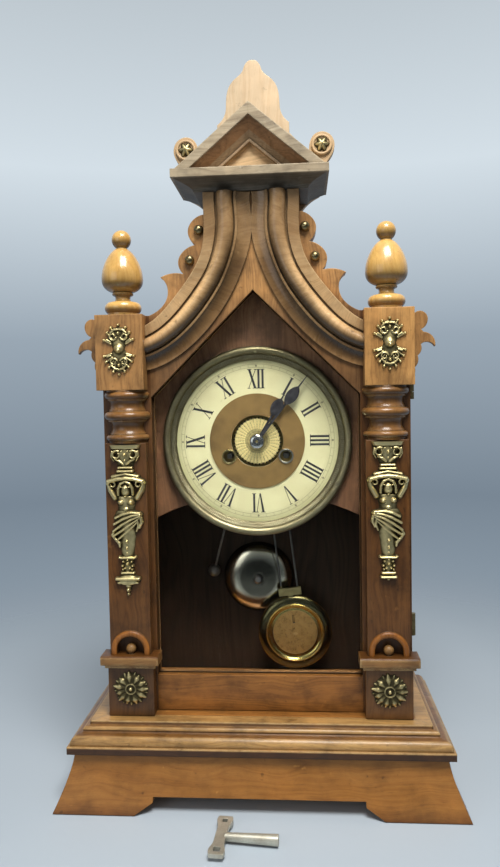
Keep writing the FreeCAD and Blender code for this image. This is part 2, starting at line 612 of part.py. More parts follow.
def bulge(x, z, rx, rz, high):
    """A smooth half-egg standing on the pilaster face."""
    m = FreeCAD.Matrix()
    m.scale(rx, high, rz)
    dome = Part.makeSphere(1.0).common(Part.makeBox(4, 2, 4, V(-2, -2, -2))).transformGeometry(m)
    return dome.translated(V(x, py, z))


def figure(way):
    """A standing figure under a basket on a tapering pedestal; the left one has a foot and a drop."""
    half = fig + foot[way]
    ring = [(x, z) for x, z in half] + [(-x, z) for x, z in half[::-1]]
    torso = slab_xz(lines([(way * axis_x + x * kp, pil_z + z * kp) for x, z in ring]), py - mount_t, py)
    relief = [(0, 166.0, 9.4, 6.6, 5.6), (0, 140.0, 5.0, 7.0, 7.0), (-11.6, 144.0, 3.2, 7.4, 4.6),
              (11.6, 144.0, 3.2, 7.4, 4.6), (0, 127.6, 7.6, 7.0, 6.0), (0, 113.6, 10.4, 8.4, 6.4),
              (0, 90.0, 5.4, 12.0, 5.0), (0, 75.6, 5.6, 4.2, 5.2)]
    if way < 0:
        relief.append((0, 63.0, 9.4, 2.8, 4.8))
    eggs = [bulge(way * axis_x + x * kp, pil_z + z * kp, rx * kp, rz * kp, h) for x, z, rx, rz, h in relief]
    return join(torso, *eggs)


put("figure_mounts", figure(1), figure(-1))

# Glass in its rebate, held by a bead all round the back.
edge = rebate - glass_play
put("door_glass", slab_xz(grown(edge), glass_y, glass_y + glass_t))
bead_y = glass_y + glass_t
bead = slab_xz(grown(rebate), bead_y, bead_y + bead_t)
put("glass_beads", bead.cut(slab_xz(grown(rebate - bead_w), bead_y - 1, bead_y + bead_t + 1)))

# Two butt hinges on the right, a push knob and a catch peg on the left.
hy = 0.5 * (yb + case_front)
hinge_at = [door_z + 0.2 * (ublock_top - door_z), door_z + 0.8 * (ublock_top - door_z)]
door_hw, case_hw = [], []
for hz in hinge_at:
    foot_at = [V(hinge_x, hy, hz + i * (knuckle_h + end_play)) for i in (-1, 0, 1)]
    tube = [Part.makeCylinder(knuckle_r, knuckle_h, v) for v in foot_at]
    bore = Part.makeCylinder(pin_r + run, knuckle_h, foot_at[1])
    z0, z1 = hz - knuckle_h - end_play, hz + 2 * knuckle_h + end_play
    door_leaf = join(box(stile_half, stile_half + leaf_t, yb - 12, yb - 0.4, hz, hz + knuckle_h),
                     box(stile_half, hinge_x, yb - 2.2, yb - 0.4, hz, hz + knuckle_h), tube[1]).cut(bore)
    door_hw.append(door_leaf)
    webs = [join(box(case_half, case_half + leaf_t, case_front + 0.4, case_front + 12, a, a + knuckle_h),
                 box(case_half, hinge_x, case_front + 0.4, case_front + 2.2, a, a + knuckle_h),
                 t) for a, t in ((z0, tube[0]), (z1 - knuckle_h, tube[2]))]
    spine = box(case_half, case_half + leaf_t, case_front + 4, case_front + 12, z0, z1)
    pin = Part.makeCylinder(pin_r, z1 - z0, V(hinge_x, hy, z0))
    case_hw.append(join(spine, pin, *webs))
put("hinge_leaves_case", *case_hw)
peg = rod_y(peg_x, peg_z, 2.2, yb, yb + 6.5)
put("door_hardware", peg, *door_hw)

# Dial board with an arched foot, dial, centre disc, bezel and winding-hole rings.
foot_z = dial_z - 80.0
foot_arc = [(-in_half, foot_z), (-0.8 * in_half, foot_z + 12.1), (-0.557 * in_half, foot_z + 24.1),
            (0, foot_z + 34.0), (0.557 * in_half, foot_z + 24.1), (0.8 * in_half, foot_z + 12.1),
            (in_half, foot_z)]
tongue = apex_z + 14.0
board = slab_xz([foot_arc, [(in_half, foot_z), (in_half, case_top)],
                 [(in_half, case_top), (neck_in, case_top)], [(neck_in, case_top), (neck_in, tongue)],
                 [(neck_in, tongue), (-neck_in, tongue)], [(-neck_in, tongue), (-neck_in, case_top)],
                 [(-neck_in, case_top), (-in_half, case_top)], [(-in_half, case_top), (-in_half, foot_z)]],
                yd, yd + board_t)
for x in (-wind_x, wind_x):
    board = board.cut(rod_y(x, wind_z, wind_hole + 1.2, yd - 1, yd + board_t + 1))
put("dial_board", board.cut(rod_y(0, dial_z, dial_hole + 1.5, yd - 1, yd + board_t + 1)))
df = yd - dial_t
disc = rod_y(0, dial_z, dial_r, df, yd).cut(rod_y(0, dial_z, dial_hole, df - 1, yd + 1))
tan = rod_y(0, dial_z, centre_r, df - centre_t, df).cut(rod_y(0, dial_z, dial_hole, df - 2, df + 1))
rings = []
for x in (-wind_x, wind_x):
    hole = rod_y(x, wind_z, wind_hole, df - 3, yd + 1)
    disc, tan = disc.cut(hole), tan.cut(rod_y(x, wind_z, wind_ring, df - 3, df + 1))
    rings.append(rod_y(x, wind_z, wind_ring, df - 1.6, df).cut(hole))
put("dial_plate", disc)
put("dial_centre", tan)
put("winding_rings", *rings)
bw = bezel_out - bezel_in
bz = [[(bezel_in, df), (bezel_in, df - 0.16 * bezel_h)],
      [(bezel_in, df - 0.16 * bezel_h), (bezel_in + 0.20 * bw, df - 0.34 * bezel_h)],
      [(bezel_in + 0.20 * bw, df - 0.34 * bezel_h), (bezel_in + 0.32 * bw, df - 0.42 * bezel_h),
       (bezel_in + 0.46 * bw, df - 0.78 * bezel_h)],
      [(bezel_in + 0.46 * bw, df - 0.78 * bezel_h), (bezel_in + 0.70 * bw, df - bezel_h),
       (bezel_out, df - 0.50 * bezel_h)], [(bezel_out, df - 0.50 * bezel_h), (bezel_out, yd)],
      [(bezel_out, yd), (dial_r, yd)], [(dial_r, yd), (dial_r, df)], [(dial_r, df), (bezel_in, df)]]
bezel = turn_y(bz, 0, dial_z)
pin_at = 0.5 * (bezel_in + 2.0 + bezel_out)
pins = [rod_y(pin_at * sin(a), dial_z + pin_at * cos(a), 1.5, df - bezel_h - 0.8, df - 2)
        for a in (0, radians(118), radians(242))]
put("bezel", join(bezel, *pins))

# Movement plates, pillars and cock. The trains lie in layers between the plates.
c_at = (0, dial_z)
w_time, w_alarm = (wind_x, wind_z), (-wind_x, wind_z)
m2, m3, me = 0.6, 0.5, 0.8
n_great, n_cp, n_cw, n_tp, n_tw, n_ep = 78, 10, 72, 8, 78, 6
far = sqrt(wind_x ** 2 + wind_drop ** 2)
m1 = 2 * far / (n_great + n_cp)
third_x = -8.0
t_at = (third_x, dial_z + sqrt((m2 * (n_cw + n_tp) / 2) ** 2 - third_x ** 2))
e_at = (0, t_at[1] + sqrt((m3 * (n_tw + n_ep) / 2) ** 2 - third_x ** 2))
v_at = (0, verge_z)
n_al, n_sp = 60, 10
star_x = -40.0
s_at = (star_x, wind_z - sqrt((me * (n_al + n_sp) / 2) ** 2 - (star_x + wind_x) ** 2))
h_at = (hammer_x, hammer_z)
n_can, n_min, n_mp, n_hr = 12, 36, 10, 40
mc = 0.5
mh_ = mc * (n_can + n_min) / (n_mp + n_hr)
stud_a = radians(250)
mw_at = (mc * (n_can + n_min) / 2 * cos(stud_a), dial_z + mc * (n_can + n_min) / 2 * sin(stud_a))
fine = [t_at, e_at, v_at, s_at, h_at]
sheet = lines([(-plate_half, plate_low), (plate_half, plate_low), (plate_half, plate_high - 20),
               (plate_half - 20, plate_high), (20 - plate_half, plate_high),
               (-plate_half, plate_high - 20)])
corners = [(-plate_half + 6, plate_low + 6), (plate_half - 6, plate_low + 6),
           (plate_half - 6, plate_high - 28), (-plate_half + 6, plate_high - 28)]
front = slab_xz(sheet, plate_y, plate_f)
back = slab_xz(sheet, plate_b, plate_b + plate_t)
for x, z in fine:
    front = front.cut(rod_y(x, z, pivot_r + run, plate_y - 1, plate_f + 1))
    back = back.cut(rod_y(x, z, (arbor_r if (x, z) in (v_at, h_at) else pivot_r) + run, plate_b - 1,
                          plate_b + plate_t + 1))
front = front.cut(rod_y(0, dial_z, arbor_r + run, plate_y - 1, plate_f + 1))
back = back.cut(rod_y(0, dial_z, pivot_r + run, plate_b - 1, plate_b + plate_t + 1))
for x, z in (w_time, w_alarm):
    front = front.cut(rod_y(x, z, wind_r + run, plate_y - 1, plate_f + 1))
    back = back.cut(rod_y(x, z, wind_r - 0.8 + run, plate_b - 1, plate_b + plate_t + 1))
put("movement_front_plate", join(front, rod_y(mw_at[0], mw_at[1], pivot_r, yd + board_t + 0.6, plate_y + 1)))
put("movement_back_plate", back)
posts = [rod_y(x, z, pillar_r, plate_f, plate_b) for x, z in corners]
posts += [rod_y(x, z, pillar_r, yd + board_t, plate_y) for x, z in corners]
put("movement_pillars", *posts)
cock_y = plate_b + plate_t
cock = box(-7, 7, cock_y, cock_y + 1.8, verge_z + 2.8, plate_high).fuse(
    box(-3.2, 3.2, cock_y, pend_y + 3, verge_z + 2.8, verge_z + 6))
cleft = box(-0.7, 0.7, pend_y - 3, pend_y + 4, verge_z, verge_z + 7)
put("suspension_cock", cock.cut(cleft).removeSplitter())


def arbor(at, y0, y1, r, extra=()):
    """A round arbor between the plates with a thinner pivot at each end, plus what is fixed on it."""
    body = rod_y(at[0], at[1], r, y0 + end_play, y1 - end_play)
    pivots = rod_y(at[0], at[1], pivot_r, y0 - plate_t, y1 + plate_t)
    return join(body, pivots, *extra)


def aim(a, b):
    return atan2(b[1] - a[1], b[0] - a[0])


# Going train: barrel 78 to pinion 10, centre 72 to 8, third 78 to 6, escape 30 teeth.
a_gc, a_ct, a_te = aim(w_time, c_at), aim(c_at, t_at), aim(t_at, e_at)


def spokes(wheel, at, r0, r1, y0, y1, n=4):
    """Cross a wheel out between two radii, leaving n spokes."""
    gap = rod_y(at[0], at[1], r1, y0 - 1, y1 + 1).cut(rod_y(at[0], at[1], r0, y0 - 2, y1 + 2))
    bar = box(-r1 - 1, r1 + 1, y0 - 2, y1 + 2, -1.2, 1.2)
    turned = [bar.rotated(V(0, 0, 0), V(0, 1, 0), 360.0 * i / n) for i in range(n // 2)]
    bars = [b.translated(V(at[0], 0, at[1])) for b in turned]
    return wheel.cut(gap.cut(bars[0].fuse(bars[1:])))


ly = plate_f
y_c, y_t, y_e, y_g = ly + 1.2, ly + 7.2, ly + 2.2, ly + 13.7
great = gear(n_great, m1, w_time[0], w_time[1], y_g, y_g + 2.5, a_gc)
drum = rod_y(w_time[0], w_time[1], drum_r, ly + 4.2, y_g)
hollow = rod_y(w_time[0], w_time[1], drum_r - 1.5, ly + 5.4, y_g)
put("time_barrel", join(great, drum.cut(hollow)).cut(rod_y(w_time[0], w_time[1], wind_r + run, ly, plate_b)))
c_wheel = spokes(gear(n_cw, m2, 0, dial_z, y_c, y_c + 1.6, a_ct), c_at, 5.0, 18.0, y_c, y_c + 1.6)
c_pin = gear(n_cp, m1, 0, dial_z, y_g - 1.5, y_g + 4.0, a_gc + pi + pi / n_cp)
c_body = join(rod_y(0, dial_z, arbor_r, ly - plate_t - 1.2, plate_b - end_play),
              rod_y(0, dial_z, pivot_r, plate_b - 1, plate_b + plate_t),
              rod_y(0, dial_z, 1.2, df - 8.0, ly), rod_y(0, dial_z, arbor_r + 1.2, ly + end_play, ly + 1.2),
              c_wheel, c_pin)
put("centre_wheel", c_body)
t_wheel = spokes(gear(n_tw, m3, t_at[0], t_at[1], y_t, y_t + 1.6, a_te), t_at, 4.0, 16.5, y_t, y_t + 1.6)
t_pin = gear(n_tp, m2, t_at[0], t_at[1], y_c - 0.6, y_c + 2.6, a_ct + pi + pi / n_tp, 0.7, 1.2, 0.6, 0.24)
put("third_wheel", arbor(t_at, ly, plate_b, 1.2, (t_wheel, t_pin)))
esc = []
esc_r, esc_n = 12.0, 30
for i in range(esc_n):
    a = 2 * pi * i / esc_n
    esc += [(e_at[0] + (esc_r - 2.6) * cos(a), e_at[1] + (esc_r - 2.6) * sin(a)),
            (e_at[0] + esc_r * cos(a + 0.10), e_at[1] + esc_r * sin(a + 0.10)),
            (e_at[0] + (esc_r - 2.6) * cos(a + 0.12), e_at[1] + (esc_r - 2.6) * sin(a + 0.12))]
e_wheel = spokes(slab_xz(lines(esc), y_e, y_e + 1.2), e_at, 2.6, 7.6, y_e, y_e + 1.2)
e_pin = gear(n_ep, m3, e_at[0], e_at[1], y_t - 1.0, y_t + 2.6, a_te + pi + pi / n_ep, 0.6, 1.2, 0.6, 0.24)
put("escape_wheel", arbor(e_at, ly, plate_b, 1.0, (e_wheel, e_pin)))


def winder(at, gap0, gap1):
    """A winding arbor with a squared end, a round part in the barrel and a ratchet behind."""
    sq = wind_sq / 2
    tip = box(at[0] - sq, at[0] + sq, yd + 3.0, plate_y - 0.4, at[1] - sq, at[1] + sq)
    body = rod_y(at[0], at[1], wind_r, plate_y - 1, plate_b - end_play)
    tail = rod_y(at[0], at[1], wind_r - 0.8, plate_b - 1, plate_b + plate_t)
    teeth = 16
    saw = []
    for i in range(teeth):
        a = 2 * pi * i / teeth
        saw += [(at[0] + 7.0 * cos(a), at[1] + 7.0 * sin(a)), (at[0] + 8.6 * cos(a), at[1] + 8.6 * sin(a))]
    return join(tip, body, tail, slab_xz(lines(saw), gap0, gap1))


put("time_arbor", winder(w_time, y_g + 3.0, y_g + 5.0))
y_a = ly + 9.7
a_as = aim(w_alarm, s_at)
al = gear(n_al, me, w_alarm[0], w_alarm[1], y_a, y_a + 2.0, a_as)
drum = rod_y(w_alarm[0], w_alarm[1], drum_r, y_a + 2.0, y_a + 10.2)
hollow = rod_y(w_alarm[0], w_alarm[1], drum_r - 1.5, y_a + 2.0, y_a + 9.0)
put("alarm_barrel", join(al, drum.cut(hollow)).cut(rod_y(w_alarm[0], w_alarm[1], wind_r + run, ly, plate_b)))
put("alarm_arbor", winder(w_alarm, ly + 4.0, ly + 6.0))
star = gear(8, 2.0, s_at[0], s_at[1], ly + 3.0, ly + 4.6, 0.2, 0.6, 1.6, 0.7, 0.2)
s_pin = gear(n_sp, me, s_at[0], s_at[1], y_a - 0.8, y_a + 3.0, a_as + pi + pi / n_sp)
put("alarm_star", arbor(s_at, ly, plate_b, 1.2, (star, s_pin)))

# Motion work and hands.
can_y, hr_y = plate_y - 2.6, yd + board_t + 0.4
a_cm = stud_a
hand_m, hand_h = df - 5.6, df - 2.6
cannon = join(gear(n_can, mc, 0, dial_z, can_y, can_y + 1.4, a_cm + pi / n_can),
              rod_y(0, dial_z, 1.9, hand_m - 0.8, can_y + 1.4))
cannon = cannon.cut(rod_y(0, dial_z, 1.2 + run, hand_m - 2, plate_y))
mwheel = gear(n_min, mc, mw_at[0], mw_at[1], can_y, can_y + 1.4, a_cm + pi)
mpin = gear(n_mp, mh_, mw_at[0], mw_at[1], hr_y, can_y, a_cm + pi + pi / n_mp, 0.75, 1.2, 0.55, 0.22)
put("minute_wheel", join(mwheel, mpin).cut(rod_y(mw_at[0], mw_at[1], pivot_r + run, hr_y - 1, plate_y)))
hour = join(gear(n_hr, mh_, 0, dial_z, hr_y, hr_y + 1.0, a_cm),
            rod_y(0, dial_z, 2.9, hand_h - 0.8, hr_y + 1.0))
put("hour_wheel", hour.cut(rod_y(0, dial_z, 1.9 + run, hand_h - 2, hr_y + 2)))
saw = []
for i in range(alarm_teeth):
    for r, a in ((alarm_root, 2 * pi * i / alarm_teeth), (alarm_r, 2 * pi * (i + 0.5) / alarm_teeth)):
        saw.append((r * cos(a), dial_z + r * sin(a)))
alarm = join(slab_xz(lines(saw), yd - 1.2, yd - 0.2), rod_y(0, dial_z, 4.0, yd - 1.2, hr_y - 0.5))
put("alarm_disc", alarm.cut(rod_y(0, dial_z, 2.9 + run, yd - 2, hr_y)))


def hand(length, hub, bore, y0, deg, wide, s, e):
    """A leaf hand: hub, narrow stem, spade leaf from s to e and long thin tip, turned to its hour."""
    right = [[(1.3, 0.6 * hub), (0.9, s)], [(0.9, s), (wide, s + 0.4 * (e - s)), (0.8, e)],
             [(0.8, e), (0.25, length)]]
    left = [[(-x, z) for x, z in seg[::-1]] for seg in right[::-1]]
    tip, root = [[(0.25, length), (-0.25, length)]], [[(-1.3, 0.6 * hub), (1.3, 0.6 * hub)]]
    leaf = slab_xz(right + tip + left + root, y0, y0 + 0.8)
    out = leaf.fuse(rod_y(0, 0, hub, y0 - 0.15, y0 + 0.95)).cut(rod_y(0, 0, bore, y0 - 1, y0 + 2))
    return out.rotated(V(0, 0, 0), V(0, 1, 0), deg).translated(V(0, 0, dial_z))


put("minute_hand", hand(minute_len, 5.0, 1.9, hand_m - 0.8, minute_deg, 4.8, 0.56 * minute_len,
                        0.82 * minute_len))
put("hour_hand", hand(hour_len, 6.0, 2.9, hand_h - 0.8, hour_deg, 5.0, 0.52 * hour_len, 0.84 * hour_len))
nut_y = hand_m - 0.95
hand_nut = turn_y([[(1.2 + run, nut_y), (6.0, nut_y)], [(6.0, nut_y), (6.0, nut_y - 0.8)],
                   [(6.0, nut_y - 0.8), (4.6, nut_y - 1.6), (2.4, nut_y - 1.9)],
                   [(2.4, nut_y - 1.9), (1.2 + run, nut_y - 1.9)],
                   [(1.2 + run, nut_y - 1.9), (1.2 + run, nut_y)]], 0, dial_z)
put("cannon_pinion", cannon, hand_nut)

# Verge with crutch, and the pendulum on its spring, all turned to the photographed swing.
vb = rod_y(0, verge_z, pivot_r, ly - plate_t,
           ly + 1).fuse(rod_y(0, verge_z, arbor_r, ly + end_play, cock_y + 3.0))
anchor = slab_xz(lines([(-2.6, verge_z), (2.6, verge_z), (9.6, verge_z - 8), (9.6, verge_z - 14.4),
                        (8.0, verge_z - 14.4), (7.4, verge_z - 8.4), (0, verge_z - 3.4),
                        (-7.4, verge_z - 8.4), (-8.0, verge_z - 14.4), (-9.6, verge_z - 14.4),
                        (-9.6, verge_z - 8)]), y_e - 0.2, y_e + 1.4)
fork_z, fork_y = verge_z - 18, cock_y + 1.2
crutch = join(box(-1.3, 1.3, fork_y, fork_y + 1.8, fork_z, verge_z),
              box(-4.4, 4.4, fork_y, fork_y + 1.8, fork_z, fork_z + 3),
              box(-4.4, -3.0, fork_y, pend_y + 2, fork_z, fork_z + 3),
              box(3.0, 4.4, fork_y, pend_y + 2, fork_z, fork_z + 3))
put("verge_crutch", swing(join(vb, anchor, crutch)))
p, rg = pend_y, rod_gap / 2
bob_z = verge_z - pend_len
bar_z = bob_z + bob_r + bar_up
spring = swing(box(-0.2, 0.2, p - 2.5, p + 2.5, verge_z - 12, verge_z + 2))
flat_top = bob_z + bob_r - 0.8
hang_z = verge_z - 26.0
wires = [rod((x, p, bar_z), (x, p, hang_z), rod_r) for x in (-rg, rg)]
hanger = join(box(-2.5, 2.5, p - 1, p + 1, hang_z + 1, verge_z - 12),
              box(-rg - 2, rg + 2, p - 1.3, p + 1.3, hang_z - 1.5, hang_z + 2), *wires,
              box(-bar_half, bar_half, p - 1.4, p + 1.4, bar_z - bar_h / 2, bar_z + bar_h / 2),
              box(-2.2, 2.2, p - 1.2, p + 1.2, flat_top, bar_z))
put("pendulum_rods", spring, swing(hanger))
b0, b1 = p - bob_t / 2, p + bob_t / 2
dish = b0 + bob_dish
lens = turn_y([[(0, dish), (token_r + 1.0, dish)],
               [(token_r + 1.0, dish), (24.2, dish - 0.4), (bob_ring - 0.8, b0 + 0.6)],
               [(bob_ring - 0.8, b0 + 0.6), (bob_ring, b0), (bob_ring + 0.8, b0 + 0.6)],
               [(bob_ring + 0.8, b0 + 0.6), (31.4, b0 + 0.9), (bob_r, b0 + 3.0)],
               [(bob_r, b0 + 3.0), (bob_r, b1 - 2.6)], cap(bob_r, b1 - 2.6, 2.6, 1), [(0, b1), (0, dish)]],
              0, bob_z)
put("bob_shell", swing(lens.cut(box(-6, 6, b0 - 1, b1 + 1, flat_top, flat_top + 5))))
token = turn_y([[(0, dish), (token_r + 0.4, dish)], [(token_r + 0.4, dish), (token_r, dish - 0.9)],
                cap(token_r, dish - 0.9, 0.6), [(0, dish - 1.5), (0, dish)]], 0, bob_z)
slot = box(-slot_w / 2, slot_w / 2, b0 - 1, dish - 0.5, bob_z + slot_low, bob_z + slot_high)
put("bob_disc", swing(token.cut(slot)))

# Bell on a post from the back board, and the alarm hammer.
by, bd = bell_front, bell_deep
w = bell_wall
dome = [[(bell_bolt, by), (bell_flat, by)],
        [(bell_flat, by), (0.42 * bell_r, by + 0.04 * bd), (0.72 * bell_r, by + 0.18 * bd),
         (0.92 * bell_r, by + 0.52 * bd), (bell_r, by + bd)],
        [(bell_r, by + bd), (bell_r - w, by + bd)],
        [(bell_r - w, by + bd), (0.92 * bell_r - w, by + 0.58 * bd),
         (0.72 * bell_r - 0.6, by + 0.18 * bd + w), (0.42 * bell_r, by + 0.04 * bd + w), (bell_flat, by + w)],
        [(bell_flat, by + w), (bell_bolt, by + w)], [(bell_bolt, by + w), (bell_bolt, by)]]
put("bell", turn_y(dome, bell_x, bell_z))
post = [(0, by - 3.2), (0.6 * bell_nut, by - 3.2), (bell_nut, by - 2.0), (bell_nut, by), (bell_bolt, by),
        (bell_bolt, by + w), (bell_stem, by + w), (bell_stem, case_back - 2), (bell_base, case_back - 2),
        (bell_base, case_back), (0, case_back)]
put("bell_post", turn_y(lines(post), bell_x, bell_z))
hb = cock_y + 2.6
elbow = (hammer_x - 10.0, hb, hammer_z - 28.0)
ham = join(rod_y(hammer_x, hammer_z, pivot_r, ly - plate_t, ly + 1),
           rod_y(hammer_x, hammer_z, arbor_r, ly + end_play, hb + 1),
           rod_y(hammer_x, hammer_z, 2 * arbor_r, hb - 1.6, hb + 1.6),
           rod((hammer_x, hb, hammer_z), elbow, 1.0), Part.makeSphere(1.5, V(*elbow)),
           rod(elbow, (head_x, head_y, head_z), 1.0), Part.makeSphere(head_r, V(head_x, head_y, head_z)),
           box(hammer_x - 1, hammer_x + 1, ly + 3.0, ly + 4.6, hammer_z - 1, hammer_z + 9))
put("alarm_hammer", ham)

# Winding key lying on the table in front: a flat handle with two square holes and a socketed shaft.
kt, kl = key_t, key_len / 2
tilt = -4.0
waist = [(5.0, -kl), (6.0, -kl + 6), (4.6, -kl + 11), (4.2, 0), (4.6, kl - 11), (6.0, kl - 6), (5.0, kl)]
bow_pts = [[(-5.0, -kl), (5.0, -kl)], waist, [(5.0, kl), (-5.0, kl)], [(-x, y) for x, y in waist[::-1]]]
zc = key_r
grip = slab_xy(bow_pts, zc - kt / 2, zc + kt / 2)
grip = grip.cut(box(-2.6, 2.6, -kl + 3.4, -kl + 8.6, 0, 2 * zc))
grip = grip.cut(box(-2.0, 2.0, kl - 7.6, kl - 3.6, 0, 2 * zc))
stem = Part.makeCone(3.0, key_r, key_shaft, V(3.0, 0, zc), V(1, 0, 0))
sq = wind_sq / 2 + 0.1
socket = box(key_shaft - 12, key_shaft + 4, -sq, sq, zc - sq, zc + sq)
whole = join(grip, stem).cut(socket)
put("winding_key", whole.rotated(V(0, 0, 0), V(0, 0, 1), tilt).translated(V(-26.0, key_y, 0)))
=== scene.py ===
import json
import math

import bmesh
import bpy
import numpy as np
from bpy.props import FloatProperty, FloatVectorProperty, IntProperty, PointerProperty
from mathutils import Matrix, Vector

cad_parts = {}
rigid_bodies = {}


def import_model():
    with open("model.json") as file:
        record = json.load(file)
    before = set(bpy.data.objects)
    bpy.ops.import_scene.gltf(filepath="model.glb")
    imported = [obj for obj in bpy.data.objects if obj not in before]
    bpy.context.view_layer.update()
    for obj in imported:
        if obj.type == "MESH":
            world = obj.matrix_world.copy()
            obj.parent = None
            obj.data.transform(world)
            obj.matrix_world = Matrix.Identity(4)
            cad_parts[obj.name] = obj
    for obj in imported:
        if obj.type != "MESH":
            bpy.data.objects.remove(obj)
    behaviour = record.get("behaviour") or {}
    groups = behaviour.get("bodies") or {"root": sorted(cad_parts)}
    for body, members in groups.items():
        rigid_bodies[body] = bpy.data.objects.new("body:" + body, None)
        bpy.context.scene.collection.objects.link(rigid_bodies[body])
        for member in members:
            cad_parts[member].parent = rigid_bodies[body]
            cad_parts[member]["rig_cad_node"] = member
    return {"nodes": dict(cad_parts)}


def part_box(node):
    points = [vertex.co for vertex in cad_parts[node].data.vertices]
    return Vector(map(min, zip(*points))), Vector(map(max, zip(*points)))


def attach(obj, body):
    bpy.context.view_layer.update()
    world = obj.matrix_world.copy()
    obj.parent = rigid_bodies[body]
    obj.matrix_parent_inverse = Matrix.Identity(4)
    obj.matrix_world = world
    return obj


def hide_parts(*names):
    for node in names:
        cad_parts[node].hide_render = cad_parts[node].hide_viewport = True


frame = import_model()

bl_info = {
    "name": "Walnut Shelf Clock",
    "version": (1, 0, 0),
    "blender": (4, 5, 0),
    "location": "3D View > Sidebar > Clock",
    "description": "Dresses a walnut shelf clock: wood, cast brass, dial, pendulum and a plain stage",
    "category": "Object",
}

for stray in list(bpy.data.objects):
    if "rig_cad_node" not in stray and not stray.name.startswith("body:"):
        bpy.data.objects.remove(stray)
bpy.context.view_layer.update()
NODES = frame["nodes"]
MM = 0.001
X, Y, Z = 0, 1, 2

# Places of tints and of bands of painted shade, in metres, over the foot or behind the front of their own
# node.
MOULDING_SHADE_BANDS = (0.0070, 0.0099, 0.0121, 0.0143)
COVE_H = 0.0077
PEDIMENT_STEPS = (("pediment_hollow", "recess_tint", 0.0008, 0.0020),
                  ("pediment_frame", "frame_tint", 0.0082, 0.0088),
                  ("pediment_wood", "panel_tint", 0.0150, 0.0165))
BAND_SOFT = 0.0003              # half of the step from one tone of a banded moulding to the next
EAR_FROM, EAR_TO = 0.043, 0.049  # where the crest's ears start to be darker, from the clock's middle

# Castings: x from and to, then z from and to, of the grid each is worked out on, in millimetres.
FIGURE_BOX, SCROLL_BOX = (-18, 18, 165, 294), (-15, 15, -23, 23)
ROSETTE_BOX, EAR_BOX = (-17, 17, -17, 17), (-11, 11, -11, 11)
EAR_STEP = 0.35
ROSETTE_REACH, ROSETTE_LEAVES = 15.0, 11
EMPTY = -3.0      # height of a field where it has nothing
CUT = -0.5        # how far the ground round a casting is cut back
BACK = 0.6        # depth of a casting's back
RUB_REACH = 1.6   # reach of the mean that a rubbed height is measured from

# Dial: how far the ink stands over the face and goes into it, half width of the minute track's lines,
# radius of its dots, and rows of radius and height for the slope inside the bezel, in metres.
INK_PROUD, INK_SUNK = 0.00014, 0.00003
LINE_HALF, DOT_R = 0.00012, 0.0009
BEZEL_SLOPE = ((0.0702, 0.0013), (0.0712, 0.0021), (0.0723, 0.0027), (0.0735, 0.0033), (0.0744, 0.0042))

# Stage: the table, the room's colours from floor to ceiling, and the frame that the focal length is for.
FLOOR_R, FLOOR_Z = 3.0, -0.0005
ROOM_STOPS = ((0.0, (0.550, 0.610, 0.680, 1)), (1.0, (0.500, 0.560, 0.605, 1)),
              (0.20, (0.310, 0.375, 0.435, 1)), (0.42, (0.190, 0.240, 0.295, 1)),
              (0.62, (0.320, 0.385, 0.450, 1)), (0.82, (0.660, 0.740, 0.800, 1)))
SENSOR, FRAME_H = 36.0, 867.0


def front_of(node):
    """The foremost y of a node, in metres."""
    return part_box(node)[0].y


def length(name, words, value):
    """One length property, in metres, with its name and description."""
    return FloatProperty(name=name, description=words, default=value, unit="LENGTH")


class ClockSizes(bpy.types.PropertyGroup):
    axis_x: length("Pilaster axis", "Middle of the pilasters from the clock's middle", 0.10675)
    block_x: length("Upper block axis", "Middle of the upper blocks from the clock's middle", 0.10875)
    dial_z: length("Dial centre height", "Height of the dial's middle above the table", 0.292)
    sweep_x: length("Sweep centre from middle", "Point the swept mouldings curve about", 0.100)
    sweep_z: length("Sweep centre height", "Height of that point above the table", 0.450)
    numeral_in: length("Numeral foot", "Radius at the feet of the hour numerals", 0.0455)
    numeral_out: length("Numeral head", "Radius at the heads of the hour numerals", 0.0622)
    track_in: length("Minute track inside", "Inner line of the minute track", 0.0636)
    track_out: length("Minute track outside", "Outer line of the minute track", 0.0664)
    ear_x: length("Ear flower from middle", "Cast flower on each ear of the crest", 0.0595)
    ear_y: length("Ear flower depth", "Ground plane of the ear flowers", 0.0084)
    ear_z: length("Ear flower height", "Middle of the ear flowers above the table", 0.5477)
    ear_r: length("Ear flower radius", "Reach of its petals", 0.0069)
    relief_step: length("Casting step", "Grid step of the cast mounts", 0.0004)
    milling: IntProperty(name="Milled ridges", description="Ridges round the inner slope of the bezel",
                         default=260, min=24)
    mill_h: length("Milling height", "Height of the milled ridges, and of the band under them", 0.0004)
    focal_px: FloatProperty(name="Focal length", description="In pixels of a 500 by 867 frame", default=700.0)
    eye: FloatVectorProperty(name="Camera place", description="Where the camera stands", size=3,
                             default=(0.03753, -0.61342, 0.32967), subtype="TRANSLATION", unit="LENGTH")
    aim: FloatVectorProperty(name="Camera turn", description="Yaw, pitch and roll of the camera", size=3,
                             default=(-0.0723, -0.0512, -0.0185), subtype="EULER", unit="ROTATION")


def tone(name, words, rgb):
    """One colour property, linear, with its name and description."""
    return FloatVectorProperty(name=name, description=words, size=3, default=rgb, subtype="COLOR", min=0.0,
                               max=3.0)


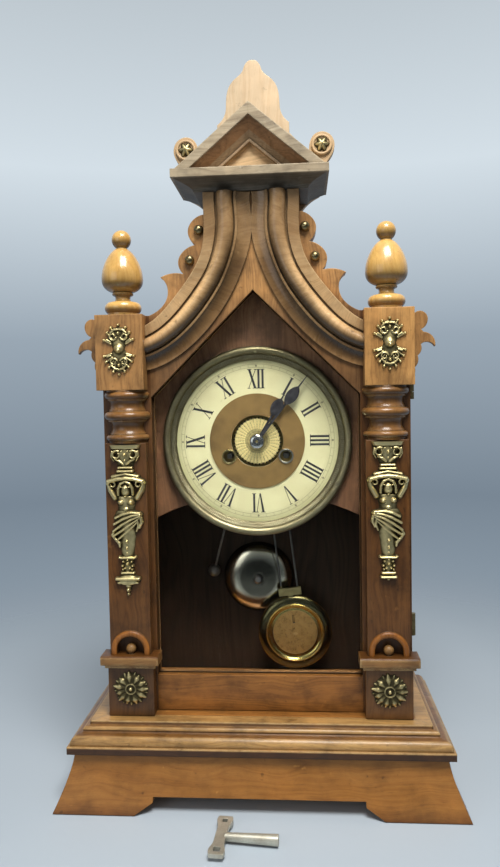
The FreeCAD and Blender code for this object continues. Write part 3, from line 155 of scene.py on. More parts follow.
class ClockColours(bpy.types.PropertyGroup):
    walnut_gold: tone("Golden walnut", "Skirt and platform", (0.390, 0.163, 0.034))
    lip_gold: tone("Lip walnut", "Rubbed top of the lip board", (0.560, 0.310, 0.110))
    moulding_brown: tone("Moulding walnut", "Plinth moulding", (0.520, 0.295, 0.100))
    block_gold: tone("Block walnut", "Upper blocks and side scrolls", (0.440, 0.225, 0.074))
    rail_brown: tone("Rail walnut", "Bottom rail", (0.340, 0.137, 0.028))
    walnut_mid: tone("Brown walnut", "Case, arch board and glass bead", (0.240, 0.118, 0.042))
    capital_brown: tone("Capital walnut", "Ringed capitals", (0.290, 0.133, 0.035))
    bare_wood: tone("Bare wood", "Edges rubbed through the varnish", (0.760, 0.520, 0.230))
    ledge_brown: tone("Ledge walnut", "Ledges over the lower blocks", (0.300, 0.150, 0.046))
    walnut_dark: tone("Dark walnut", "Pilasters and stiles", (0.150, 0.060, 0.014))
    swept_brown: tone("Swept walnut", "S-shaped mouldings of the arch", (0.520, 0.310, 0.134))
    pediment_pale: tone("Bleached walnut", "Cornice and raking boards", (0.445, 0.358, 0.235))
    arch_tint: tone("Arch tint", "Top of the arch board, as a share of its foot", (2.250, 2.350, 2.250))
    # Painted shade in the hollow under the cornice.
    cove_shade_tint: tone("Cove tint", "Hollow under the cornice, as a share of its fillet", (0.300, 0.320, 0.360))
    hood_tint: tone("Hood tint", "Hoods over the niches, as a share of the pilasters", (2.500, 2.250, 1.500))
    recess_tint: tone("Recess tint", "Hollow of the pediment, as a share of its front", (0.800, 0.520, 0.340))
    frame_tint: tone("Frame tint", "Frame of the pediment, as a share of its hollow", (1.120, 1.450, 1.900))
    panel_tint: tone("Panel tint", "Panel of the pediment, as a share of its frame", (1.850, 1.860, 1.750))
    ear_tint: tone("Ear tint", "Ears of the crest, as a share of the crest", (1.000, 0.920, 0.800))
    low_tint: tone("Lower block tint", "Lower blocks, as a share of the upper ones", (0.290, 0.245, 0.200))
    # Painted light: the right blocks lighter, as if lit from the right.
    right_light_tint: tone("Right light tint", "Right blocks, as a share of the left ones", (1.320, 1.330, 1.270))
    # Painted shade on the front of the lip board, as if lit from above.
    lip_shade_tint: tone("Lip tint", "Front of the lip board, as a share of its top", (0.135, 0.088, 0.052))
    # Painted shade in the hollows of the mouldings.
    groove_shade_tint: tone("Groove tint", "Hollows of mouldings, as a share of the rounds", (0.450, 0.340, 0.230))
    # Painted reflection: the upper part of the bezel darker, as if it mirrored the dark case.
    bezel_reflection_tint: tone("Bezel tint", "Top of the bezel, as a share of its foot", (0.740, 0.740, 0.700))
    foot_tint: tone("Foot tint", "Dirt along the foot of the skirt", (0.450, 0.380, 0.340))
    crest_faded: tone("Faded walnut", "Crest board", (0.600, 0.450, 0.280))
    finial_honey: tone("Honey turning", "Finials", (0.810, 0.485, 0.145))
    board_red: tone("Dial board", "Stained board behind the dial", (0.310, 0.152, 0.070))
    board_tint: tone("Board tint", "Foot of the dial board, as a share of its top", (0.600, 0.560, 0.520))
    back_brown: tone("Back board", "Stained softwood back", (0.038, 0.023, 0.013))
    back_bare: tone("Bare back", "Outer face of the back board", (0.300, 0.175, 0.085))
    brass_worn: tone("Worn brass", "Rubbed places of the castings", (0.820, 0.690, 0.350))
    brass_dull: tone("Dull brass", "Tarnish in the hollows of the castings", (0.090, 0.072, 0.028))
    brass_clean: tone("Clean brass", "Alarm disc, movement and one winding ring", (0.660, 0.540, 0.230))
    bezel_grey: tone("Bezel metal", "Polished ring round the dial", (0.290, 0.260, 0.155))
    milled_grey: tone("Milled metal", "Milled slope inside the bezel", (0.200, 0.180, 0.110))
    bob_gold: tone("Bob brass", "Bead and channel of the pendulum bob", (0.700, 0.560, 0.190))
    # Tarnish, and a painted dark reflection of the case.
    bob_tarnish_and_reflection: tone("Bob rim", "Tarnished rim of the pendulum bob", (0.110, 0.098, 0.046))
    bell_grey: tone("Bell metal", "Nickelled bell", (0.560, 0.520, 0.400))
    bronze: tone("Bronze", "Studs and hinges", (0.300, 0.240, 0.120))
    bar_brass: tone("Bar brass", "Cross bar of the pendulum", (0.440, 0.360, 0.160))
    copper: tone("Copper", "Disc of the pendulum bob", (0.420, 0.260, 0.085))
    centre_tan: tone("Dial centre", "Disc inside the numerals", (0.228, 0.140, 0.045))
    cream: tone("Dial cream", "Dial ground", (0.660, 0.625, 0.360))
    # Yellowing, and painted shade from the bezel.
    rim_yellow_and_shade: tone("Dial rim", "Yellowed rim of the dial", (0.360, 0.340, 0.170))
    ink: tone("Ink", "Hands and lettering", (0.010, 0.010, 0.013))
    ink_worn: tone("Worn ink", "Worn places of the hands and lettering", (0.045, 0.043, 0.048))
    ink_faded: tone("Faded ink", "What the minute track fades to", (0.360, 0.330, 0.180))
    steel: tone("Steel", "Hand nut and pillars", (0.560, 0.560, 0.540))
    dark_steel: tone("Dark steel", "Rods, arbors and hammer", (0.230, 0.225, 0.205))
    nickel: tone("Nickel", "Winding key and one winding ring", (0.640, 0.620, 0.520))
    # Painted shade in closed-in corners of rods and rings.
    metal_corner_shade: tone("Metal grime", "Dirt in the corners of rods and rings", (0.020, 0.018, 0.012))
    glass_clear: tone("Glass", "Faint tint of the door glass", (0.970, 0.985, 0.975))
    floor: tone("Floor", "Plain pale table", (0.530, 0.605, 0.680))


def sizes():
    return bpy.context.scene.clock_sizes


def colour(name):
    """A colour of the property group as four numbers."""
    return (*getattr(bpy.context.scene.clock_colours, name), 1.0)


def shade(rgba, factor, warm=0.0):
    """A darker or lighter version of a colour, warmed or cooled a little."""
    r, g, b = rgba[:3]
    return (min(1, r * factor * (1 + warm)), min(1, g * factor), min(1, b * factor * (1 - warm)), 1.0)


# Meshes worked out as arrays.

def grid_faces(nu, nv, close_u=False, close_v=False):
    """Quads of a grid of nu by nv points, joined round either way where asked."""
    rows, columns = np.arange(nu if close_u else nu - 1), np.arange(nv if close_v else nv - 1)
    a, b = np.meshgrid(rows, columns, indexing="ij")
    c, d = (a + 1) % nu, (b + 1) % nv
    return np.stack([a * nv + b, c * nv + b, c * nv + d, a * nv + d], -1).reshape(-1, 4)


def lathe(profile, centre, axis, n):
    """Surface of revolution: profile is rows of (radius, along), carried round an axis through centre."""
    p = np.asarray(profile, float)
    a = 2 * math.pi * np.arange(n)[:, None] / n
    r, h = p[None, :, 0], np.broadcast_to(p[None, :, 1], (n, len(p)))
    u, v = r * np.cos(a), r * np.sin(a)
    co = np.stack([u, h, v] if axis == "y" else [u, v, h], -1)
    return co.reshape(-1, 3) + np.asarray(centre, float), grid_faces(n, len(p), close_u=True)


def cleaned(mesh):
    """Merge doubled points, drop faces without area and point the rest outwards."""
    bm = bmesh.new()
    bm.from_mesh(mesh)
    bmesh.ops.remove_doubles(bm, verts=bm.verts, dist=2e-6)
    bmesh.ops.dissolve_degenerate(bm, edges=bm.edges, dist=1e-7)
    bmesh.ops.recalc_face_normals(bm, faces=bm.faces)
    bm.to_mesh(mesh)
    bm.free()


def piece(name, parts, body, material, replaces=(), smooth=40.0, tidy=True):
    """One object from (points, quads) arrays, tidied where asked, that rides on its body."""
    starts = np.cumsum([0] + [len(co) for co, _ in parts])
    quads = np.concatenate([q + start for (_, q), start in zip(parts, starts)])
    mesh = bpy.data.meshes.new(name)
    mesh.from_pydata(np.concatenate([co for co, _ in parts]).tolist(), [], quads.tolist())
    if tidy:
        cleaned(mesh)
    mesh.shade_smooth()
    mesh.set_sharp_from_angle(angle=math.radians(smooth))
    obj = bpy.data.objects.new(name, mesh)
    bpy.context.scene.collection.objects.link(obj)
    mesh.materials.append(material)
    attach(obj, body)
    if replaces:
        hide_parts(*replaces)
    return obj


def dress(material, *nodes):
    """Give CAD nodes a finish in their own material slots."""
    for n in nodes:
        slots = NODES[n].data.materials
        for i in range(len(slots)):
            slots[i] = material


# Castings: a height field over a flat ground.

def rib(x, z, points, fat, lift):
    """Height of a tapering rib: fat * r * (1 - (d / r)^2), d the distance to its line, r its half width."""
    best = np.full(x.shape, EMPTY)
    for (x0, z0, r0), (x1, z1, r1) in zip(points[:-1], points[1:]):
        dx, dz = x1 - x0, z1 - z0
        t = np.clip(((x - x0) * dx + (z - z0) * dz) / (dx * dx + dz * dz + 1e-9), 0, 1)
        r = r0 + (r1 - r0) * t
        best = np.maximum(best, fat * r * (1 - ((x - x0 - t * dx) ** 2 + (z - z0 - t * dz) ** 2) / r ** 2))
    return np.where(best > 0, best + lift * np.clip(best / 0.5, 0, 1), best)


def dome(x, z, cx, cz, rx, rz, high):
    """Height of an oval dome, a paraboloid of half widths rx and rz."""
    u, v = (x - cx) / rx, (z - cz) / rz
    return high * (1 - u * u - v * v)


def column(x, z, rows, square):
    """Height of an upright body: h * (1 - |x / w|^square), its w and h read from rows of (z, w, h)."""
    at = np.array(rows, float)
    w, h = np.interp(z, at[:, 0], at[:, 1]), np.interp(z, at[:, 0], at[:, 2])
    inside = (z >= at[0, 0]) & (z <= at[-1, 0])
    return np.where(inside, h * (1 - np.abs(x / w) ** square), EMPTY)


class Relief:
    """Height fields gathered in a list, in mirrored pairs where asked."""

    def __init__(self):
        self.fields = []

    def rib(self, points, fat, lift, pair=False):
        for k in (1, -1) if pair else (1,):
            row = [(k * a, b, r) for a, b, r in points]
            self.fields.append(lambda x, z, row=row: rib(x, z, row, fat, lift))

    def dome(self, cx, cz, rx, rz, high, pair=False):
        for k in (1, -1) if pair else (1,):
            self.fields.append(lambda x, z, k=k: dome(x, z, k * cx, cz, rx, rz, high))

    def column(self, rows, square=2):
        self.fields.append(lambda x, z: column(x, z, rows, square))


def arc(cx, cz, r, a0, a1, w0, w1, n):
    """Points of a curl from angle a0 to a1 in degrees, its radius and half width tapering to the end."""
    t = np.linspace(0, 1, n)
    a = np.radians(a0 + (a1 - a0) * t)
    rr = r * (1 - 0.55 * t ** 1.3)
    return list(zip(cx + rr * np.cos(a), cz + rr * np.sin(a), w0 + (w1 - w0) * t))


def cast(fields, box, centre, step, mirror=False):
    """Points, faces and rubbed heights of a casting: the highest of its fields, forward of its ground."""
    x0, x1, z0, z1 = box
    xs, zs = np.arange(x0, x1 + step, step), np.arange(z0, z1 + step, step)
    x, z = np.meshgrid(xs, zs, indexing="ij")
    h = np.full(x.shape, EMPTY)
    for f in fields:
        h = np.maximum(h, f(x, z))
    h = np.maximum(h, CUT)
    rub = h - blur(np.maximum(h, 0), RUB_REACH / step)
    quads = grid_faces(*x.shape)
    quads = quads[(h.ravel()[quads] > 0).any(1)]
    used, quads = np.unique(quads, return_inverse=True)
    quads = quads.reshape(-1, 4)
    front = np.stack([x.ravel()[used], -h.ravel()[used], z.ravel()[used]], -1)
    back = front.copy()
    back[:, 1] = BACK
    edges = np.concatenate([quads[:, [i, (i + 1) % 4]] for i in range(4)])
    key = edges[:, 0] * (len(used) + 1) + edges[:, 1]
    rim = edges[~np.isin(key, edges[:, 1] * (len(used) + 1) + edges[:, 0])]
    n = len(used)
    walls = np.stack([rim[:, 0], rim[:, 0] + n, rim[:, 1] + n, rim[:, 1]], -1)
    faces = np.concatenate([quads, quads[:, ::-1] + n, walls])
    co = np.concatenate([front, back]) * MM
    if mirror:
        co[:, 0] *= -1
        faces = faces[:, ::-1]
    values = np.concatenate([rub.ravel()[used], np.full(n, -1.0)])
    return co + np.asarray(centre), faces, values


def blur(h, reach):
    """A Gaussian mean of a field, by its Fourier transform, on a padded grid."""
    pad = int(3 * reach)
    p = np.pad(h, pad)
    fx, fz = np.fft.fftfreq(p.shape[0])[:, None], np.fft.rfftfreq(p.shape[1])[None, :]
    out = np.fft.irfft2(np.fft.rfft2(p) * np.exp(-2 * (math.pi * reach) ** 2 * (fx ** 2 + fz ** 2)), p.shape)
    return out[pad:-pad, pad:-pad]


def cast_pair(left, right, box, at, step, mirror=False):
    """Two castings at -x and x of one place, the right one mirrored where asked."""
    x, y, z = at
    return [cast(left, box, (-x, y, z), step), cast(right, box, (x, y, z), step, mirror)]


def casting(name, shells, body, material, replaces=()):
    """One object of cast shells, with the rubbed height kept as the attribute that its finish reads."""
    obj = piece(name, [(co, f) for co, f, _ in shells], body, material, replaces, smooth=80, tidy=False)
    rub = obj.data.attributes.new("rubbed", "FLOAT", "POINT")
    rub.data.foreach_set("value", np.concatenate([v for _, _, v in shells]).astype(np.float32))
    return obj


def figure_relief(foot):
    """A pilaster mount: a draped figure that bears a basket, on a tapering pedestal with drops."""
    m = Relief()
    m.column([(289.6, 12.2, 4.8), (292.6, 13.2, 5.4)], 8)
    m.column([(274.6, 6.4, 3.0), (280, 8.4, 4.0), (286, 11.6, 4.6), (289.6, 12.4, 4.2)])
    m.rib(arc(6.7, 284.8, 3.6, 120, -300, 1.2, 0.5, 16), 1.1, 3.8, True)
    m.rib([(1.4, 277.0, 1.2), (4.6, 279.6, 1.3), (8.2, 281.0, 0.8)], 1.1, 3.0, True)
    m.rib([(10.6, 287.6, 1.0), (11.4, 283.4, 0.8), (9.4, 279.8, 0.7)], 1.1, 2.6, True)
    m.dome(0, 284.6, 2.3, 2.5, 6.6)
    m.dome(0, 280.0, 1.5, 1.8, 5.4)
    m.dome(2.6, 287.6, 1.4, 1.4, 5.6, True)
    m.rib([(-5.4, 274.0, 1.3), (5.4, 274.0, 1.3)], 1.5, 2.4)
    m.rib([(-6.0, 271.2, 1.5), (6.0, 271.2, 1.5)], 1.6, 2.6)
    m.column([(262.4, 15.0, 3.0), (266, 13.0, 4.6), (269.8, 8.0, 4.2)])
    m.rib([(-14.2, 262.8, 1.9), (-7, 264.8, 2.1), (0, 265.4, 2.2), (7, 264.8, 2.1),
           (14.2, 262.8, 1.9)], 1.2, 3.4)
    m.rib([(-10.6, 266.8, 1.5), (0, 268.8, 1.7), (10.6, 266.8, 1.5)], 1.2, 3.0)
    m.dome(14.4, 261.4, 2.7, 2.5, 5.4, True)
    m.rib(arc(10.8, 260.2, 2.6, 60, 380, 1.1, 0.6, 12), 1.1, 3.4, True)
    m.rib([(14.4, 260.6, 2.5), (12.8, 255.4, 2.9), (9.2, 249.2, 3.0)], 1.35, 0, True)
    m.dome(0, 255.8, 5.6, 7.4, 6.4)
    m.rib([(0, 262.8, 1.5), (3.8, 261.0, 1.6), (5.8, 257.0, 1.4), (6.0, 251.8, 1.1)], 1.1, 3.8, True)
    m.rib([(0.9, 258.0, 0.7), (3.4, 258.3, 0.7)], 0.9, 5.4, True)
    m.rib([(0, 258.2, 0.7), (0, 254.8, 1.1)], 0.9, 6.1)
    m.rib([(-1.5, 252.8, 0.6), (1.5, 252.8, 0.6)], 0.9, 5.2)
    m.dome(0, 250.6, 2.1, 1.6, 5.9)
    m.column([(236.6, 7.6, 4.0), (241, 7.0, 4.0), (246, 8.4, 4.2), (250.4, 9.6, 3.6)])
    m.dome(4.0, 245.6, 3.7, 3.3, 6.0, True)
    m.dome(0, 240.0, 5.0, 3.4, 5.2)
    m.column([(211, 5.6, 3.0), (219, 7.6, 3.6), (226, 10.2, 4.4), (233, 11.4, 4.6), (238.4, 8.4, 4.4)])
    m.rib([(11.2, 236.4, 1.3), (4, 237.0, 1.4), (-3, 235.6, 1.5), (-9.0, 232.6, 1.2)], 1.2, 3.8)
    m.rib([(11.2, 235.4, 1.3), (4, 234.2, 1.5), (-3, 231.6, 1.6), (-10.2, 227.4, 1.2)], 1.2, 3.8)
    m.rib([(11.0, 234.0, 1.2), (3, 230.8, 1.5), (-4, 226.8, 1.5), (-11.0, 221.6, 1.1)], 1.2, 3.6)
    m.rib([(10.4, 232.0, 1.1), (3, 227.0, 1.4), (-4, 222.0, 1.4), (-11.4, 217.4, 1.1)], 1.2, 3.2)
    m.rib([(9.4, 229.4, 1.0), (3, 223.2, 1.2), (-3, 218.2, 1.3), (-8.4, 213.8, 1.0)], 1.2, 2.8)
    m.dome(11.4, 235.0, 2.5, 2.6, 6.0)
    m.rib([(11.8, 233.2, 1.6), (12.6, 228.6, 1.7), (10.8, 224.2, 1.1)], 1.2, 2.4)
    m.rib([(9.6, 231.0, 1.2), (10.0, 226.0, 1.4), (8.2, 221.4, 0.9)], 1.2, 2.8)
    m.rib([(-9.6, 222.0, 1.6), (-12.2, 218.2, 1.5), (-9.2, 214.4, 1.7), (-6.4, 211.4, 1.9),
           (-6.2, 208.4, 1.1)], 1.2, 1.4)
    m.column([(197.6, 5.0, 3.0), (205, 5.7, 3.5), (215, 7.0, 3.7), (224, 8.2, 3.6)])
    m.dome(0, 213.0, 1.9, 2.3, 5.6)
    m.dome(0, 207.6, 1.7, 2.0, 5.4)
    m.dome(0, 203.4, 1.1, 1.5, 5.0)
    m.rib([(-5.6, 199.2, 1.2), (5.6, 199.2, 1.2)], 1.2, 2.8)
    m.dome(6.6, 199.6, 1.6, 1.6, 4.4, True)
    m.column([(187.4, 4.6, 2.6), (198.4, 5.2, 3.0)])
    m.dome(0, 194.4, 2.1, 2.1, 5.4)
    for a, b, r in ((3.4, 196.2, 1.5), (4.3, 192.6, 1.6), (1.9, 190.6, 1.5), (3.9, 189.6, 1.2)):
        m.dome(a, b, r, r, 4.8, True)
    m.dome(0, 197.6, 1.3, 1.3, 4.8)
    m.rib([(-4.9, 186.6, 1.3), (4.9, 186.6, 1.3)], 1.3, 2.4)
    if foot:
        m.column([(176.4, 6.0, 3.0), (179, 10.0, 4.4), (182.2, 10.2, 4.6), (184.8, 6.0, 3.2)], 4)
        m.rib([(-9.3, 181.8, 1.6), (9.3, 181.8, 1.6)], 1.3, 3.2)
        m.rib([(-8.0, 178.4, 1.2), (8.0, 178.4, 1.2)], 1.2, 2.6)
        m.dome(0, 175.6, 3.2, 2.4, 3.4)
        m.dome(0, 172.4, 2.4, 2.4, 4.4)
        m.dome(0, 168.8, 1.6, 2.0, 2.8)
    else:
        m.rib([(-5.7, 183.2, 1.4), (5.7, 183.2, 1.4)], 1.4, 2.8)
        m.dome(0, 181.2, 1.6, 1.5, 2.8)
    return m.fields


def scroll_relief():
    """A block mount: a round boss on a waist between two fans of scrolls with beaded ends."""
    m = Relief()
    m.column([(-17.6, 5.0, 0.9), (-9, 9.4, 1.3), (-4, 7.0, 1.6), (0.6, 4.9, 2.2), (5, 6.2, 1.8),
              (9, 9.2, 1.3), (14, 8.0, 1.2), (18.4, 3.6, 0.8)])
    m.dome(0, 1.0, 4.9, 5.4, 4.2)
    m.dome(0, -0.6, 3.0, 2.8, 5.6)
    beads = ((6.0, 18.0), (9.2, 14.0), (11.9, 8.2), (12.1, -5.0), (10.6, -9.6), (8.1, -14.0), (4.7, -17.6))
    for a, b in beads:
        m.dome(a, b, 1.55, 1.55, 2.9, True)
        m.rib([(a, b, 0.9), (0.52 * a, 0.62 * b, 1.1)], 0.9, 0.9, True)
    m.dome(0, 20.2, 1.5, 1.5, 2.8)
    m.dome(0, -19.8, 1.5, 1.5, 2.8)
    m.rib(arc(4.6, 10.8, 3.0, 200, 560, 1.0, 0.6, 14), 1.0, 1.7, True)
    m.rib(arc(4.2, -9.6, 3.0, 160, -200, 1.0, 0.6, 14), 1.0, 1.7, True)
    m.rib([(0.6, 16.6, 0.9), (3.6, 16.4, 1.1), (6.6, 13.6, 0.9)], 1.0, 1.6, True)
    m.rib([(0.6, -15.6, 0.9), (3.4, -15.0, 1.1), (6.4, -12.0, 0.9)], 1.0, 1.6, True)
    m.rib([(6.6, 6.6, 1.0), (9.4, 8.4, 1.0)], 1.0, 1.2, True)
    m.rib([(6.6, -4.6, 1.0), (9.6, -5.4, 1.0)], 1.0, 1.2, True)
    m.dome(0, 13.4, 1.8, 2.0, 3.6)
    m.dome(0, -12.4, 1.8, 2.0, 3.6)
    return m.fields


def flower_relief(reach, petals):
    """A rosette: leaves of uneven length and lean round a ring and a dome, a lower row between them."""
    m = Relief()
    k = reach / 14.0
    for i in range(petals):
        a = 2 * math.pi * i / petals + 0.14 * math.sin(5.3 * i)
        c, s = k * math.cos(a), k * math.sin(a)
        tip = 12.5 + 1.0 * math.sin(2.7 * i + 0.6)
        leaf = [(4 * c, 4 * s, 1.5 * k), (8.8 * c, 8.8 * s, 2.9 * k), (tip * c, tip * s, 0.9 * k)]
        m.rib(leaf, 0.7, 1.2 * k)
        m.rib([(5 * c, 5 * s, 0.5 * k), (12 * c, 12 * s, 0.35 * k)], 0.8, 2.6 * k)
        a += math.pi / petals
        c, s = k * math.cos(a), k * math.sin(a)
        m.rib([(5 * c, 5 * s, 1.9 * k), (9 * c, 9 * s, 2.4 * k), (12.8 * c, 12.8 * s, 0.9 * k)], 0.5, 0.8 * k)
    turn = np.linspace(0, 2 * math.pi, 25)
    m.rib([(3.9 * k * math.cos(t), 3.9 * k * math.sin(t), 1.0 * k) for t in turn], 0.9, 2.0 * k)
    m.dome(0, 0, 2.7 * k, 2.7 * k, 4.0 * k)
    m.dome(0, 0, 12.6 * k, 12.6 * k, 1.8 * k)
    return m.fields


def star_relief(reach):
    """A small flower with a bead: h = 0.55 R (1 - (r / e)^2), e going six times between 0.72 R and R."""
    def petals(x, z):
        edge = reach * (0.86 + 0.14 * np.cos(6 * np.arctan2(z, x)))
        return 0.55 * reach * (1 - (x * x + z * z) / edge ** 2)
    m = Relief()
    m.fields.append(petals)
    m.dome(0, 0, 0.22 * reach, 0.22 * reach, 0.72 * reach)
    return m.fields


# Shader building.

def fill(tree, node, ins):
    """Inputs of a node by name or number: a socket is linked, anything else is set as the value."""
    for k, v in ins.items():
        if isinstance(v, bpy.types.NodeSocket):
            tree.links.new(v, node.inputs[k])
        else:
            node.inputs[k].default_value = v
    return node


def add(tree, kind, ins=None, **props):
    """One shader node with its settings and inputs."""
    n = tree.nodes.new("ShaderNode" + kind)
    for k, v in props.items():
        setattr(n, k, v)
    return fill(tree, n, ins or {})


# Short names for the nodes that the finishes use most; each gives its output socket.

def calc(tree, how, a, b=0.0, clamp=False):
    return add(tree, "Math", {0: a, 1: b}, operation=how, use_clamp=clamp).outputs[0]


def times(tree, a, b, clamp=False):
    return calc(tree, "MULTIPLY", a, b, clamp)


def plus(tree, a, b, clamp=False):
    return calc(tree, "ADD", a, b, clamp)


def minus(tree, a, b, clamp=False):
    return calc(tree, "SUBTRACT", a, b, clamp)


def vector(tree, how, a, b):
    return add(tree, "VectorMath", {0: a, 1: b}, operation=how).outputs[0]


def xyz(tree, x, y=0.0, z=0.0):
    return add(tree, "CombineXYZ", {0: x, 1: y, 2: z}).outputs[0]


def axis_of(tree, at, axis):
    return add(tree, "SeparateXYZ", {0: at}).outputs[axis]


def place(tree):
    """Where a point lies on its object, in metres."""
    return add(tree, "TexCoord").outputs["Object"]


def facing(tree, kind, axis):
    """One part of a surface's direction, of the kind Normal or True Normal."""
    return axis_of(tree, add(tree, "NewGeometry").outputs[kind], axis)


def noise(tree, at, scale, detail, rough=0.5):
    ins = {"Vector": at, "Scale": scale, "Detail": detail, "Roughness": rough}
    return add(tree, "TexNoise", ins).outputs[0]


def remap(tree, value, low, high, to_low=0.0, to_high=1.0):
    """A value carried from one range to another and held at its ends."""
    return add(tree, "MapRange", {0: value, 1: low, 2: high, 3: to_low, 4: to_high}).outputs[0]


def mix(tree, fac, a, b, blend="MIX"):
    return add(tree, "Mix", {0: fac, 6: a, 7: b}, data_type="RGBA", blend_type=blend).outputs[2]


def scaled(tree, base, share):
    """A colour multiplied by a share of each of its parts."""
    return mix(tree, 1.0, base, share, "MULTIPLY")


def ramp(tree, fac, *stops):
    """A colour ramp of (place, colour) stops, or of greys where a stop is a number."""
    n = add(tree, "ValToRGB", {0: fac})
    for i, (at, c) in enumerate(stops):
        e = n.color_ramp.elements[i] if i < 2 else n.color_ramp.elements.new(at)
        e.position = at
        e.color = c if hasattr(c, "__len__") else (c, c, c, 1)
    return n.outputs[0]


def bump(tree, strength, depth, height, **normal):
    """A bumped normal, over another where one is given as Normal."""
    return add(tree, "Bump", {"Strength": strength, "Distance": depth, "Height": height, **normal}).outputs[0]


def around(t, at, centre):
    """Angle round a centre in the XZ plane, 0 to 1, and the distance from it."""
    x, _, z = add(t, "SeparateXYZ", {0: vector(t, "SUBTRACT", at, centre)}).outputs
    angle = plus(t, calc(t, "DIVIDE", calc(t, "ARCTAN2", z, x), 2 * math.pi), 0.5)
    return angle, calc(t, "SQRT", plus(t, times(t, x, x), times(t, z, z)))


def kept_once(make):
    """Keep one result for each set of arguments."""
    kept = {}

    def get(*args, **named):
        key = (args, *named.items())
        if key not in kept:
            kept[key] = make(*args, **named)
        return kept[key]
    return get


def group(name, inputs, outputs):
    """A new shader node group with its named sockets."""
    g = bpy.data.node_groups.new(name, "ShaderNodeTree")
    for label, kind, value in inputs:
        s = g.interface.new_socket(label, in_out="INPUT", socket_type="NodeSocket" + kind)
        if value is not None:
            s.default_value = value
    for label, kind in outputs:
        g.interface.new_socket(label, in_out="OUTPUT", socket_type="NodeSocket" + kind)
    return g, g.nodes.new("NodeGroupInput").outputs, g.nodes.new("NodeGroupOutput").inputs


def give(g, outputs, *made):
    """Link what a group makes to its outputs, in order."""
    for socket, out in zip(made, outputs):
        g.links.new(socket, out)
    return g


@kept_once
def grain_group():
    """Wood that runs along Z, in millimetres: noises stretched that way give figure, streaks and pores."""
    g, i, o = group("wood_grain", [("Vector", "Vector", None), ("Coarseness", "Float", 1.0)],
                    [("Grain", "Float"), ("Pores", "Float"), ("Blotch", "Float"), ("Height", "Float")])
    v = add(g, "VectorMath", {0: i[0], 3: i[1]}, operation="SCALE").outputs[0]

    def stretched(at, scale, detail, rough=0.5):
        return noise(g, vector(g, "MULTIPLY", at, scale), 1.0, detail, rough)

    wander = stretched(v, (0.012, 0.012, 0.012), 2.0, 0.55)
    bent = vector(g, "ADD", v, xyz(g, times(g, wander, 26.0)))
    figure = stretched(bent, (0.045, 0.045, 0.0035), 2.0)
    rings = calc(g, "ABSOLUTE", calc(g, "SINE", times(g, figure, 46.0)))
    streak = stretched(bent, (0.9, 0.9, 0.016), 5.0, 0.65)
    pores = remap(g, stretched(bent, (3.6, 3.6, 0.13), 2.0), 0.60, 0.70)
    blotch = stretched(v, (0.022, 0.022, 0.010), 4.0, 0.6)
    total = plus(g, times(g, streak, 0.62), times(g, rings, 0.22))
    total = plus(g, total, times(g, minus(g, blotch, 0.5), 0.55), True)
    return give(g, o, total, pores, blotch, minus(g, times(g, streak, 0.5), times(g, pores, 0.6)))


@kept_once
def edge_group():
    """Edge: how far a rounded normal leaves the true one, broken by noise. Crevice: how much is closed in, by
    ambient occlusion, which most finishes use for painted shade.
    """
    g, i, o = group("edge_wear_and_shade", [("Radius", "Float", 0.0012), ("Reach", "Float", 0.008)],
                    [("Edge", "Float"), ("Crevice", "Float"), ("Normal", "Vector")])
    soft = add(g, "Bevel", {0: i[0]}, samples=4).outputs[0]
    true = add(g, "NewGeometry").outputs["Normal"]
    off = minus(g, 1.0, add(g, "VectorMath", {0: soft, 1: true}, operation="DOT_PRODUCT").outputs["Value"])
    worn = times(g, times(g, off, 5.0), remap(g, noise(g, place(g), 160.0, 4.0), 0.35, 0.65), True)
    # Ambient occlusion, which most finishes turn into painted shade.
    shut = add(g, "AmbientOcclusion", {1: i[1]}, samples=4).outputs["AO"]
    return give(g, o, worn, minus(g, 1.0, shut, True), soft)


@kept_once
def speck_group():
    """Small pale dings and dark spots, thinly scattered: two noises cut off near their tops."""
    g, i, o = group("specks", [("Vector", "Vector", None), ("Scale", "Float", 90.0)],
                    [("Dings", "Float"), ("Spots", "Float")])
    return give(g, o, remap(g, noise(g, i[0], i[1], 3.0), 0.70, 0.76),
                remap(g, noise(g, i[0], times(g, i[1], 1.7), 2.0), 0.70, 0.78))


def use(tree, made, **ins):
    return fill(tree, add(tree, "Group", node_tree=made), ins).outputs


def blank(name):
    """An empty material with a Principled shader linked to its output."""
    m = bpy.data.materials.new(name)
    m.use_nodes = True
    t = m.node_tree
    t.nodes.clear()
    bsdf = add(t, "BsdfPrincipled")
    add(t, "OutputMaterial", {0: bsdf.outputs[0]})
    return m, t, bsdf


def cover(tree, clear, bsdf):
    """Let a share of a material be clear: its shader is mixed with a transparent one at the output."""
    both = add(tree, "MixShader", {0: clear, 1: bsdf.outputs[0], 2: add(tree, "BsdfTransparent").outputs[0]})
    fill(tree, next(n for n in tree.nodes if n.type == "OUTPUT_MATERIAL"), {0: both.outputs[0]})


# Finishes.

# Turns that bring the grain, which runs along Z, to each axis.
TURNS = {"z": (0, 0, 0), "x": (0, -math.pi / 2, 0), "y": (math.pi / 2, 0, 0)}


def across_arch(t, at):
    """Grain across the swept mouldings: polar about a point outside the arch, the same on both sides."""
    s = sizes()
    x, y, z = add(t, "SeparateXYZ", {0: at}).outputs
    aside = minus(t, s.sweep_x, calc(t, "ABSOLUTE", x))
    angle, reach = around(t, xyz(t, aside, y, z), (0, 0, s.sweep_z))
    return xyz(t, times(t, angle, 600.0), times(t, y, 1000.0), times(t, reach, 1000.0))


